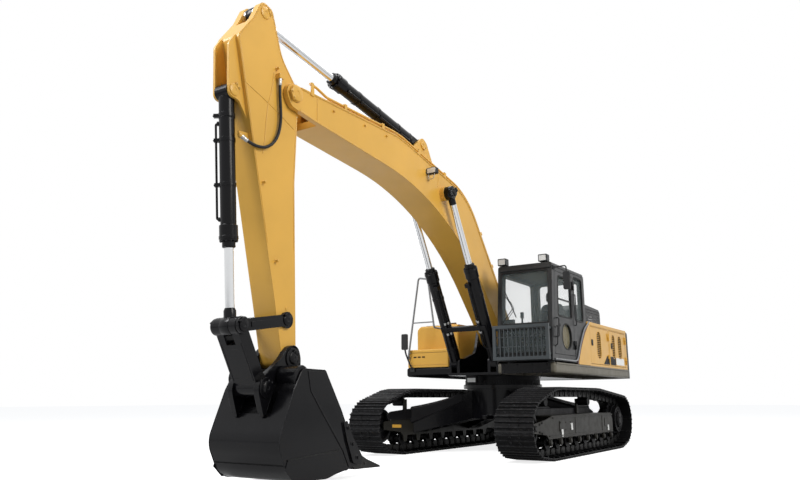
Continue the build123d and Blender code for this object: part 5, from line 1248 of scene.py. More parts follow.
@dataclass
class CentreLegs:
    """Raised boxes on the centre frame's legs and the rails along the track frames' inner faces.

    Attributes:
        y: Where a leg leaves the drum and where it meets the track frame.
        inner_x: Inner edge of a leg at the drum and at the track frame.
        outer_x: Outer edge of a leg at the same places.
        top: Height of the leg's top there.
        lift: How far the box stands above the leg at the track frame.
        flare: How much wider the box gets there.
        cut: Size of the cut at its upper corners.
        rail: Side view of a rail.
        rail_y: Inner and outer face of a rail.
    """

    y: Span = (0.330, 1.132)
    inner_x: Span = (0.090, 0.760)
    outer_x: Span = (0.560, 1.240)
    top: Span = (1.055, 0.610)
    lift: float = 0.140
    flare: float = 0.130
    cut: float = 0.030
    rail: tuple[Span, ...] = (
        (-1.48, 0.585), (2.06, 0.560), (2.08, 0.630), (1.96, 0.692), (1.45, 0.728), (1.10, 0.745),
        (-1.00, 0.735), (-1.30, 0.715), (-1.48, 0.660),
    )
    rail_y: Span = (1.104, 1.150)

    def leg_box(self) -> Shell:
        """Box on the front left leg.

        At share s of the leg its section is a rectangle with two cut corners. Its sides stand
        8 mm + flare * s ** 3 outside the leg's, and its top 15 mm + lift * s ** 1.8 above the leg's.
        """
        share = np.linspace(0.16, 0.985, 12)
        y, low_x, high_x, leg_top = (
            drum + (frame - drum) * share for drum, frame in (self.y, self.inner_x, self.outer_x, self.top))
        wider = 0.008 + self.flare * share ** 3
        low_x, high_x = low_x - wider, high_x + wider
        low_z, high_z = leg_top - 0.12, leg_top + 0.015 + self.lift * share ** 1.8
        x = np.stack([low_x, high_x, high_x, high_x - self.cut, low_x + self.cut, low_x], axis=1)
        z = np.stack([low_z, low_z, high_z - self.cut, high_z, high_z, high_z - self.cut], axis=1)
        points = np.stack([x, np.broadcast_to(y[:, None], x.shape), z], axis=-1)
        return Shell(points.reshape(-1, 3), [face[::-1] for face in capped_faces(*x.shape)])

    def build(self) -> None:
        """Builds the four boxes and the two rails."""
        front = self.leg_box()
        turned = carried(front, np.zeros((1, 3)), -FORWARD, -LEFT, UP)
        both([front, turned]).piece("leg_boxes", "undercarriage", Look.CASTING, "cast", bevel=0.006)
        both([side_plate(self.rail, *self.rail_y)]).piece(
            "frame_rails", "undercarriage", Look.CASTING, "cast", bevel=0.008)


# Boom, arm and cylinders


@dataclass
class Boom:
    """Welds, flange edges, pin caps, pipe brackets and the lamp of the boom.

    Attributes:
        corners: Side view of the boom in metres, with the corners' radii.
        face: Half width of the boom.
        nose: (x, z) of the pin that the arm turns on.
        ear_pin: (x, z) of the arm cylinder's foot.
        lamp: Middle of the work lamp.
    """

    corners: tuple[tuple[float, ...], ...] = (
        (0.24, 1.81, 0.06), (2.377, 3.973, 4.7), (5.70, 4.24, 0.3), (6.09, 4.292, 0.1), (6.206, 4.45, 0.13),
        (6.12, 4.58, 0.12), (3.75, 4.645, 2.0), (1.671, 4.231, 1.3), (0.035, 2.17, 0.12), (0.01, 1.88, 0.15),
    )
    face: float = 0.240
    nose: Span = (6.03, 4.47)
    ear_pin: Span = (2.90, 4.80)
    lamp: Point = (3.02, 0.335, 4.315)

    def runs(self, low_x: float, high_x: float) -> list[np.ndarray]:
        """Belly and back of the outline between two x.

        Args:
            low_x: Where the runs start.
            high_x: Where they end.

        Returns:
            The two runs, each anticlockwise.
        """
        line = filleted(self.corners, 16)
        split = int(np.argmax(line[:, 0]))
        halves = (resampled(line[:split + 1], 0.04), resampled(line[split:], 0.04))
        return [half[(half[:, 0] > low_x) & (half[:, 0] < high_x)] for half in halves]

    def edges(self) -> list[Shell]:
        """Flange edges that stand proud of the side plates, with the weld bead inside each."""
        pieces = []
        strip = np.array(rectangle((-0.002, 0.009), (0.001, 0.017)))
        for run in self.runs(0.42, 5.95):
            pieces.append(swept(strip, at_y(run, self.face), LEFT))
            pieces.append(bead(at_y(inset(run, 0.021), self.face), 0.006, LEFT))
        pieces.append(bead(at_y([(5.630, 4.570), (5.622, 4.262)], self.face), 0.008, FORWARD))
        pieces.append(bead(at_y([(2.62, 4.425), (2.66, 4.16)], self.face), 0.006, FORWARD))
        return pieces

    def fittings(self) -> list[Shell]:
        """Pin caps, a pipe tab and lifting eye bosses, painted with the boom."""
        tab = rounded([(5.700, 4.55), (5.760, 4.55), (5.765, 4.72), (5.715, 4.72)], 0.012)
        pieces = [pin_cap(*self.nose, self.face + 0.022, 0.098, -0.5),
                  pin_cap(*self.ear_pin, 0.1185, 0.060, -2.2), side_plate(tab, 0.242, 0.254)]
        for x, z in ((5.30, 4.50), (4.62, 4.53), (4.10, 4.545)):
            profile = [(0.016, -0.002), (0.016, 0.020), (0.011, 0.026)]
            pieces.append(lathed(profile, (x, self.face, z), LEFT, 14))
        return pieces

    def lamp_pieces(self) -> None:
        """Work lamp on its bracket, facing the bucket."""
        x, y, z = self.lamp
        plate(rectangle((-0.085, 0.085), (-0.050, 0.050), 0.02), (x - 0.085, y, z), LEFT, UP, 0.082).piece(
            "boom_lamp_case", "boom", Look.PLASTIC, "lamp", bevel=0.006)
        plate(rectangle((-0.072, 0.072), (-0.038, 0.038), 0.012), (x - 0.004, y, z), LEFT, UP, 0.006).piece(
            "boom_lamp_lens", "boom", Look.LENS, "lamp", bevel=0.002)
        foot, back, loop_x = self.face - 0.004, x - 0.045, x - 0.02
        bracket = [
            pipe([(x - 0.10, foot, z - 0.02), (back, y - 0.02, z - 0.06), (back, y, z - 0.05)],
                 0.007, 0.03, 8),
            pipe([(loop_x, y - 0.06, z - 0.05), (loop_x, y - 0.05, z - 0.13), (loop_x, y + 0.03, z - 0.13),
                  (loop_x, y + 0.05, z - 0.05)], 0.006, 0.03, 8),
            pipe([(loop_x, y - 0.05, z - 0.12), (x - 0.10, foot, z - 0.13)], 0.007, 0.02, 8),
        ]
        joined(bracket).piece("boom_lamp_bracket", "boom", Look.STEEL, "lamp")

    def build(self) -> None:
        """Builds both sides of the boom."""
        both(self.edges()).piece("boom_edges", "boom", Look.YELLOW, "yellow_paint")
        both(self.fittings()).piece("boom_fittings", "boom", Look.YELLOW, "yellow_paint")
        self.lamp_pieces()


@dataclass
class Arm:
    """Welds, stubs, reinforcement edges and pin caps of the arm.

    Attributes:
        corners: Side view of the arm in metres, with the corners' radii.
        face: Half width of the arm.
        rocker_pin: (x, z) of the rockers' pin.
        rod_pin: (x, z) of the arm cylinder's upper pin.
        barrel_pin: (x, z) of the bucket cylinder's foot.
        rocker_sweep: Reach of the rockers, inside which the side stays bare.
        crossings: Weld lines over the side, and the direction of each one's width.
    """

    corners: tuple[tuple[float, ...], ...] = (
        (5.808, 1.233, 0.10), (6.018, 1.233, 0.09), (6.172, 1.890), (6.925, 4.870, 0.09), (6.70, 5.19, 0.08),
        (6.58, 5.46, 0.09), (6.40, 5.41, 0.09), (6.21, 4.88, 0.5), (5.90, 4.55, 0.12), (5.925, 3.39, 0.9),
    )
    face: float = 0.168
    rocker_pin: Span = (6.006, 1.765)
    rod_pin: Span = (6.52, 5.32)
    barrel_pin: Span = (6.90, 4.22)
    rocker_sweep: float = 0.80
    crossings: tuple[tuple[Point, tuple[Span, ...]], ...] = (
        ((0.0, 0.0, 1.0), ((6.795, 4.354), (6.605, 4.295), (6.373, 4.217), (6.180, 4.142), (5.965, 4.052))),
        ((1.0, 0.0, 0.0), ((6.338, 4.640), (6.350, 4.500), (6.379, 4.344), (6.421, 4.182), (6.439, 3.978),
                           (6.445, 3.764), (6.470, 3.600))),
    )

    def lines(self) -> list[Shell]:
        """Weld beads round the side plate and across it, on the left side."""
        outline = filleted(self.corners, 12)
        closed = inset(resampled(np.concatenate([outline, outline[:1]]), 0.04), 0.016)
        upper = closed[closed[:, 1] > self.rocker_pin[1] + self.rocker_sweep]
        pieces = [bead(at_y(upper, self.face), 0.006, LEFT)]
        for side, line in self.crossings:
            pieces.append(bead(at_y(line, self.face), 0.007, np.array(side)))
        return pieces

    def fittings(self) -> list[Shell]:
        """Stubs, bosses and pin caps on the left side."""
        profile = [(0.021, -0.002), (0.021, 0.006), (0.015, 0.010), (0.015, 0.046), (0.011, 0.050)]
        pieces = [lathed(profile, (x, self.face, z), LEFT, 16)
                  for x, z in ((6.446, 3.266), (6.200, 2.408), (6.300, 4.70))]
        plug = [(0.020, -0.002), (0.020, 0.004), (0.012, 0.005)]
        return [*pieces, lathed(plug, (5.994, self.face, 1.896), LEFT, 18),
                pin_cap(*self.rod_pin, self.face, 0.074, 2.6), pin_cap(*self.barrel_pin, 0.1243, 0.070, 2.2)]

    def build(self) -> None:
        """Builds both sides of the arm."""
        both(self.lines()).piece("arm_welds", "arm", Look.YELLOW, "yellow_paint")
        both(self.fittings()).piece("arm_fittings", "arm", Look.YELLOW, "yellow_paint")
        both([pin_cap(*self.rocker_pin, 0.2025, 0.066, 1.2)]).piece(
            "rocker_pin_caps", "arm", Look.BLACK, "black_paint")


@dataclass
class Cylinder:
    """Dressing of one hydraulic cylinder: gland, bands, welds, pipe, ports and black rod eye.

    Attributes:
        name: What the pieces' names start with.
        foot: (x, z) of the barrel's foot pin.
        rod_pin: (x, z) of the rod's pin.
        y: Plane of the cylinder.
        radius: The barrel's radius.
        rod: The rod's radius.
        length: From the foot pin to the barrel's end.
        eye_half: Half width of the rod's eye.
        barrel: Body of the barrel.
        rod_body: Body of the rod.
        bands: Places of the bands from the foot pin.
        pipe_turn: Direction of the thin pipe round the barrel, from its front towards +Y, or None.
    """

    name: str
    foot: Span
    rod_pin: Span
    y: float
    radius: float
    rod: float
    length: float
    eye_half: float
    barrel: str
    rod_body: str
    bands: tuple[float, ...] = ()
    pipe_turn: float | None = None

    def __post_init__(self) -> None:
        """Works out the cylinder's axes."""
        step = np.array((self.rod_pin[0] - self.foot[0], 0.0, self.rod_pin[1] - self.foot[1]))
        self.reach = float(np.linalg.norm(step))
        self.along = step / self.reach
        self.front = np.array((self.along[2], 0.0, -self.along[0]))
        self.start = np.array((self.foot[0], self.y, self.foot[1]))

    def place(self, far: float, out: float = 0.0, turn: float = 0.0) -> np.ndarray:
        """A place beside the axis: far along it and out from it, turned from the front to +Y."""
        return self.start + self.along * far + self.away(turn) * out

    def away(self, turn: float) -> np.ndarray:
        """Direction out from the axis, turned from the front to +Y."""
        return math.cos(turn) * self.front + math.sin(turn) * LEFT

    def thin_pipe(self, turn: float) -> list[Shell]:
        """Thin pipe along the barrel with its two ports and a clamp at each band.

        Args:
            turn: Its direction round the barrel.

        Returns:
            The pieces.
        """
        r, low, high, away = self.radius, 0.36, self.length - 0.30, self.away(turn)
        corners = [self.place(low, r - 0.01, turn), self.place(low, r + 0.034, turn),
                   self.place(high, r + 0.034, turn), self.place(high, r - 0.01, turn)]
        pieces = [pipe(corners, 0.013, 0.04)]
        for far in (low, high):
            port = [(0.026, 0.0), (0.026, 0.040), (0.021, 0.044)]
            pieces.append(lathed(port, self.place(far, r - 0.022, turn), away, 6))
        for far in self.bands:
            pieces.append(plate(rectangle((-0.020, 0.020), (-0.024, 0.024)), self.place(far, r, turn),
                                self.along, np.cross(away, self.along), 0.056))
            pieces.append(bolts([self.place(far, r + 0.056, turn)], away, 0.010))
        return pieces

    def barrel_pieces(self) -> Shell:
        """Rings, gland bolts, bands with their screws, welds and the thin pipe."""
        r, end = self.radius, self.length
        rings = [
            (end - 0.230, [(r - 0.002, -0.012), (r + 0.008, -0.005), (r + 0.0145, 0.003)]),
            (end - 0.112, [(r + 0.0142, -0.004), (r + 0.019, 0.0), (r + 0.019, 0.030), (r + 0.0142, 0.034)]),
            (0.30, [(r - 0.002, -0.012), (r + 0.006, 0.0), (r - 0.002, 0.012)]),
            (end, [(r - 0.018, -0.004), (self.rod + 0.022, 0.004), (self.rod + 0.012, 0.012),
                   (self.rod + 0.003, 0.014)]),
        ]
        band = [(r - 0.001, -0.022), (r + 0.006, -0.020), (r + 0.006, 0.020), (r - 0.001, 0.022)]
        rings += [(far, band) for far in self.bands]
        pieces = [lathed(profile, self.place(far), self.along) for far, profile in rings]
        heads = ring_spots(self.place(end - 0.060), self.along, r + 0.001, 12)
        pieces.append(bolts(heads, self.along, 0.0105))
        return joined(pieces + (self.thin_pipe(self.pipe_turn) if self.pipe_turn is not None else []))

    def eye(self) -> Shell:
        """Black casing over the rod's eye and its neck."""
        radius, half = self.rod + 0.050, self.eye_half
        neck = min(radius * 0.8, half - 0.001) + 0.002
        casing = [(radius + 0.0015, -half - 0.0002), (radius + 0.0025, -half + 0.002),
                  (radius + 0.0025, half - 0.002), (radius + 0.0015, half + 0.0002)]
        sleeve = [(self.rod + 0.003, -0.030), (neck, 0.0), (neck, radius)]
        return joined([lathed(casing, self.place(self.reach), LEFT, 44),
                       lathed(sleeve, self.place(self.reach - radius - 0.062), self.along, 36)])

    def build(self) -> None:
        """Builds the barrel's pieces and the rod's eye."""
        self.barrel_pieces().piece(f"{self.name}_barrel_rings", self.barrel, Look.BLACK, "black_paint")
        self.eye().piece(f"{self.name}_rod_eye", self.rod_body, Look.BLACK, "chrome_rod")


@dataclass
class Cylinders:
    """The four hydraulic cylinders, with the steel pipes and pin heads of the boom's pair.

    Attributes:
        foot: (x, z) of the boom cylinders' foot pins.
        rod_pin: (x, z) of their upper pins.
        y: Plane of the left one.
        pipes: Distance ahead of its axis, y and lower end of each steel pipe.
    """

    foot: Span = (1.04, 1.487)
    rod_pin: Span = (2.50, 4.075)
    y: float = 0.370
    pipes: tuple[Point, ...] = ((0.066, 0.270, 0.30), (0.106, 0.308, 0.36))

    def cylinders(self) -> list[Cylinder]:
        """The two boom cylinders, the arm's and the bucket's."""
        pair = [Cylinder(name=name, foot=self.foot, rod_pin=self.rod_pin, y=y, radius=0.096, rod=0.052,
                         length=1.76, eye_half=0.055, barrel="boom_barrels", rod_body="boom_rods",
                         bands=(1.22,)) for name, y in (("boom_left", self.y), ("boom_right", -self.y))]
        return [
            *pair,
            Cylinder(name="arm", foot=(2.90, 4.80), rod_pin=(6.52, 5.32), y=0.0, radius=0.098, rod=0.056,
                     length=2.19, eye_half=0.055, barrel="arm_barrel", rod_body="arm_rod",
                     bands=(0.62, 1.15, 1.62), pipe_turn=0.9),
            Cylinder(name="bucket", foot=(6.90, 4.22), rod_pin=(6.674, 1.654), y=0.0, radius=0.086, rod=0.050,
                     length=1.73, eye_half=0.0657, barrel="bucket_barrel", rod_body="bucket_rod",
                     bands=(0.27, 0.55, 1.05), pipe_turn=-2.2),
        ]

    def base_pipes(self, cylinder: Cylinder) -> None:
        """Pipes from the clamp bar down to the boom cylinders' base ports, with pale nuts.

        Args:
            cylinder: The left boom cylinder.
        """
        def place(far: float, ahead: float, y: float) -> np.ndarray:
            """A place ahead of the cylinder's axis, at a y of its own."""
            return cylinder.place(far, ahead) * (1.0, 0.0, 1.0) + LEFT * y

        nut = [(0.0195, -0.002), (0.0215, 0.004), (0.0215, 0.030), (0.0185, 0.036)]
        pipes, nuts = [], []
        for ahead, y, low in self.pipes:
            run = [place(0.645, ahead, y), place(low + 0.02, ahead, y), place(low - 0.01, ahead * 0.7, 0.325)]
            pipes.append(pipe(run, 0.013, 0.05))
            nuts += [lathed(nut, place(far, ahead, y), cylinder.along, 6) for far in (0.585, 0.775)]
        both(pipes).piece("base_port_pipes", "boom_barrels", Look.BLACK, "black_paint")
        both(nuts).piece("pipe_nuts", "boom_barrels", Look.STEEL, "chrome_rod")

    def build(self) -> None:
        """Builds the cylinders, the steel pipes and the pin heads outside the boom rods' eyes."""
        made = self.cylinders()
        for cylinder in made:
            cylinder.build()
        self.base_pipes(made[0])
        both([pin_cap(*self.rod_pin, 0.4555, 0.062, 2.2)]).piece(
            "boom_rod_pin_caps", "boom_rods", Look.BLACK, "black_paint")


# Bucket and linkage


@dataclass
class Bucket:
    """Wear plates, side cutters, welds, strips and tooth pins of the bucket.

    Attributes:
        corners: Side view of the bucket in metres, with the corners' radii.
        half: Half width over the side plates.
        teeth: Number of teeth.
        tooth_half: Half width of a tooth's adapter.
        lip: Thickness of the side plates, by which the outer teeth stand inwards.
        ear_y: Inner face of the left ear.
        ear_thick: Thickness of an ear.
    """

    corners: tuple[tuple[float, ...], ...] = (
        (5.10, 0.184), (5.33, 0.66, 0.3), (5.70, 1.214, 0.03), (6.085, 1.22, 0.09), (6.215, 1.0, 0.16),
        (6.44, 0.45, 0.26), (6.24, 0.062, 0.28), (5.64, 0.052, 0.4),
    )
    half: float = 0.515
    teeth: int = 5
    tooth_half: float = 0.048
    lip: float = 0.006
    ear_y: float = 0.1683
    ear_thick: float = 0.052

    def side_plates(self) -> list[Shell]:
        """Wear plates and a bolted cutter on the left side."""
        y = self.half
        front = [(5.125, 0.235), (5.235, 0.47), (5.40, 0.765), (5.69, 1.192), (6.00, 1.200), (5.945, 0.985),
                 (5.777, 0.789), (5.376, 0.341), (5.262, 0.150)]
        low = [(6.290, 0.281), (5.440, 0.336), (5.345, 0.232), (5.330, 0.115), (5.66, 0.066), (6.20, 0.074),
               (6.330, 0.190)]
        cutter = rounded([(5.020, 0.235), (5.060, 0.160), (5.210, 0.190), (5.330, 0.440), (5.395, 0.640),
                          (5.330, 0.660), (5.215, 0.475)], 0.02)
        return [
            side_plate(front, y - 0.002, y + 0.008),
            side_plate(low, y - 0.002, y + 0.009),
            side_plate(cutter, y + 0.0075, y + 0.032),
            bolts(at_y([(5.130, 0.245), (5.225, 0.400), (5.315, 0.580)], y + 0.032), LEFT, 0.022),
            bead(at_y(front[7:3:-1], y + 0.002), 0.007, UP),
        ]

    def wrapper(self) -> list[Shell]:
        """Strips and a doubler on the curved back, and the rim of the side plates."""
        line = filleted(self.corners, 16)
        line = resampled(np.concatenate([line, line[:1]]), 0.02)
        pieces = []
        for low, high, thick, half in ((0.74, 1.02, 0.012, 0.30), (0.105, 0.150, 0.010, 0.50),
                                       (0.215, 0.250, 0.010, 0.50)):
            part = line[(line[:, 0] > 6.05) & (line[:, 1] > low) & (line[:, 1] < high)]
            pieces.append(side_plate(np.concatenate([part, inset(part, -thick)[::-1]]), -half, half))
        rim = line[(line[:, 0] > 5.66) & (line[:, 1] > 0.055)]
        gaps = np.where(np.linalg.norm(np.diff(rim, axis=0), axis=1) > 0.1)[0] + 1
        pieces += [bead(at_y(inset(run, -0.001), self.half - 0.004), 0.006, LEFT)
                   for run in np.split(rim, gaps) if len(run) > 6]
        return pieces

    def ears(self) -> list[Shell]:
        """Rounded wear rims along the left ear, the torque tube beside it and pin caps."""
        rim = [(5.803, 1.22), (5.802, 1.36), (5.845, 1.462), (5.930, 1.492), (6.030, 1.452), (6.085, 1.365),
               (6.200, 1.255), (6.340, 1.165), (6.435, 1.080), (6.452, 0.985), (6.372, 0.760)]
        strip = np.array([(-0.034, -0.006), (0.034, -0.006), (0.036, 0.004), (-0.036, 0.004)])
        outer = self.ear_y + self.ear_thick
        pieces = [swept(strip, bent_path(at_y(rim, self.ear_y + self.ear_thick / 2), 0.05, 4), LEFT)]
        for x, z, radius in ((5.92, 1.345, 0.070), (6.323, 1.019, 0.066)):
            collar = [(radius + 0.045, -0.004), (radius + 0.045, 0.012), (radius + 0.036, 0.0135)]
            pieces += [pin_cap(x, z, outer + 0.014, radius, 2.0), lathed(collar, (x, outer, z), LEFT)]
        tube = [(0.118, 0.0), (0.128, 0.010), (0.128, 0.250), (0.118, 0.260)]
        return [*pieces, lathed(tube, (6.072, 0.236, 1.130), LEFT, 48)]

    def tooth_pins(self) -> Shell:
        """Locking pins and weld beads of the tooth adapters."""
        span = self.half - self.tooth_half - self.lip
        pin = [(0.017, -0.002), (0.017, 0.006), (0.011, 0.009)]
        pieces = []
        for y in np.linspace(-span, span, self.teeth):
            pieces += [lathed(pin, (4.935, y + sign * self.tooth_half, 0.165), LEFT * sign, 14)
                       for sign in (-1, 1)]
            pieces.append(box((5.0, 5.02), (y - 0.0495, y + 0.0495), (0.128, 0.248)))
        return joined(pieces)

    def build(self) -> None:
        """Builds the bucket's pieces."""
        both(self.side_plates()).piece("bucket_wear_plates", "bucket", Look.BLACK, "black_paint", bevel=0.003)
        # A bead along the lower wear plate's top edge. It uses the lighter chain steel finish as a painted
        # highlight along that edge.
        line = bead(at_y([(6.292, 0.286), (5.440, 0.341)], self.half + 0.004), 0.009, UP)
        both([line]).piece("bucket_side_highlight_bead", "bucket", Look.CHAIN, "black_paint")
        both(self.wrapper()).piece("bucket_strips", "bucket", Look.BLACK, "black_paint")
        both(self.ears()).piece("bucket_ear_rims", "bucket", Look.BLACK, "black_paint")
        self.tooth_pins().piece("tooth_pins", "bucket", Look.TOOTH, "teeth")


@dataclass
class Linkage:
    """Pin heads and ribs of the rockers and the bucket link.

    Attributes:
        rocker: (x, z) of the rockers' pin on the arm.
        top: (x, z) of the pin that joins rockers, link and rod.
        low: (x, z) of the link's pin on the bucket.
        link_half: Half depth of the link in the side view.
    """

    rocker: Span = (6.006, 1.765)
    top: Span = (6.674, 1.654)
    low: Span = (6.323, 1.019)
    link_half: float = 0.0706

    def build(self) -> None:
        """Builds the rockers' ribs with their pin heads, and the link's welds."""
        rocker, top, low = (np.array(pin) for pin in (self.rocker, self.top, self.low))
        step = (top - rocker) / np.linalg.norm(top - rocker)
        side = np.array((-step[1], step[0])) * 0.028
        near, far = rocker + step * 0.11, top - step * 0.11
        rib = side_plate([near + side, far + side, far - side, near - side], 0.200, 0.2110)
        both([pin_cap(*self.top, 0.2025, 0.066, 0.9), rib]).piece(
            "rocker_ribs", "rockers", Look.BLACK, "black_paint", bevel=0.002)
        up = (top - low) / np.linalg.norm(top - low)
        face = low + np.array((up[1], -up[0])) * self.link_half
        welds = [bead(at_y([face + up * 0.12, face + up * 0.55], y), 0.006, LEFT) for y in (-0.145, 0.145)]
        joined(welds).piece("link_welds", "bucket_link", Look.BLACK, "black_paint")


# Cab


def coordinates(mesh: bpy.types.Mesh) -> np.ndarray:
    """Places of a mesh's vertices, n by 3."""
    flat = np.empty(len(mesh.vertices) * 3)
    mesh.vertices.foreach_get("co", flat)
    return flat.reshape(-1, 3)


def shifted(mesh: bpy.types.Mesh, places: np.ndarray) -> None:
    """Puts a mesh's vertices at new places, n by 3."""
    mesh.vertices.foreach_set("co", places.ravel())
    mesh.update()


def signed_power(value: np.ndarray, exponent: float) -> np.ndarray:
    """A power of a value's size that keeps the value's sign."""
    return np.sign(value) * np.abs(value) ** exponent


def inflated(obj: bpy.types.Object, voxel: float, pressure: float, cap: float) -> None:
    """Remeshes a closed form evenly, swells it as cloth and keeps the result in its mesh.

    Args:
        obj: The cushion's object.
        voxel: Size of the remeshed faces.
        pressure: Pressure inside the cloth.
        cap: Furthest that a point may move.
    """
    def baked() -> bpy.types.Mesh:
        """The object's mesh with its modifiers applied."""
        graph = bpy.context.evaluated_depsgraph_get()
        return bpy.data.meshes.new_from_object(obj.evaluated_get(graph), depsgraph=graph)

    remesh = obj.modifiers.new("even", "REMESH")
    remesh.mode, remesh.voxel_size = "VOXEL", voxel
    obj.data = baked()
    obj.modifiers.clear()
    before = coordinates(obj.data)
    cloth = obj.modifiers.new("swell", "CLOTH")
    cloth.settings.use_pressure = True
    cloth.settings.uniform_pressure_force = pressure
    cloth.settings.effector_weights.gravity = 0.0
    for frame in range(1, 21):
        bpy.context.scene.frame_set(frame)
    step = coordinates(baked()) - before
    obj.modifiers.clear()
    bpy.context.scene.frame_set(1)
    far = np.linalg.norm(step, axis=1, keepdims=True)
    shifted(obj.data, before + step * np.minimum(1.0, cap / np.maximum(far, 1e-9)))


@dataclass
class Cushion:
    """One seat cushion: a crowned form, swollen as cloth, with sewn channels and a piped seam.

    Attributes:
        name: The piece's name.
        middle: Centre of the cushion.
        half: Half sizes along its length, its width and its thickness.
        lean_deg: Turn of its length upwards from +X.
        channels: Places of the sewn channels along its length.
    """

    name: str
    middle: Point
    half: Point
    lean_deg: float
    channels: tuple[float, ...] = ()

    def axes(self) -> np.ndarray:
        """Rows: directions of the cushion's length, width and thickness."""
        lean = math.radians(self.lean_deg)
        ahead = np.array((math.cos(lean), 0.0, math.sin(lean)))
        return np.stack([ahead, LEFT, np.cross(ahead, LEFT)])

    def rim(self, angle: np.ndarray) -> tuple[np.ndarray, np.ndarray]:
        """Its widest line by angle: how far along its length and its width."""
        return (signed_power(np.cos(angle), 0.42) * self.half[0],
                signed_power(np.sin(angle), 0.42) * self.half[1])

    def form(self) -> Shell:
        """Superellipsoid: each coordinate is a power of its cosines and sines, so it is a soft block."""
        rows, columns = 33, 72
        v = np.linspace(-np.pi / 2 + 0.03, np.pi / 2 - 0.03, rows)[:, None]
        length, width = self.rim((np.arange(columns) * 2 * np.pi / columns)[None])
        flat = signed_power(np.cos(v), 0.35)
        height = signed_power(np.sin(v), 0.62) * self.half[2]
        local = np.stack(np.broadcast_arrays(flat * length, flat * width, height), axis=-1)
        points = local.reshape(-1, 3) @ self.axes() + np.array(self.middle)
        return Shell(points, capped_faces(rows, columns))

    def sew(self, obj: bpy.types.Object) -> Shell:
        """Presses the channels into the face and follows the widest line with the seam's piping.

        Each channel is a valley exp(-(a / 9 mm)^2) deep 7 mm, a being the distance from its line.

        Args:
            obj: The swollen cushion.

        Returns:
            The piping.
        """
        axes, middle = self.axes(), np.array(self.middle)
        local = (coordinates(obj.data) - middle) @ axes.T
        face = np.clip(local[:, 2] / self.half[2], 0.0, 1.0)
        for line in self.channels:
            local[:, 2] -= 0.007 * face * np.exp(-((local[:, 0] - line) / 0.009) ** 2)
        shifted(obj.data, local @ axes + middle)
        length, width = self.rim(np.arange(96) * 2 * np.pi / 96)
        ring = np.stack([length, width, np.full(96, self.half[2] * 0.30)], axis=1)
        nearest = np.argmin(np.sum((ring[:, None] - local[None]) ** 2, axis=-1), axis=1)
        seam = local[nearest]
        seam = (np.roll(seam, 1, axis=0) + seam * 2 + np.roll(seam, -1, axis=0)) / 4
        return swept(round_profile(0.0045, 8), seam @ axes + middle, axes[2], closed=True)

    def build(self) -> bpy.types.Object:
        """Builds the cushion and its piping.

        Returns:
            The cushion's object.
        """
        obj = self.form().piece(self.name, "house", Look.CLOTH, "cloth", smooth_deg=60.0)
        inflated(obj, 0.006, 4.0, 0.012)
        smoothed(obj.data)
        if not obj.data.materials:
            obj.data.materials.append(Look.CLOTH.material())
        self.sew(obj).piece(f"{self.name}_piping", "house", Look.RUBBER, "cloth")
        finer = obj.modifiers.new("finer", "SUBSURF")
        finer.levels = finer.render_levels = 1
        return obj


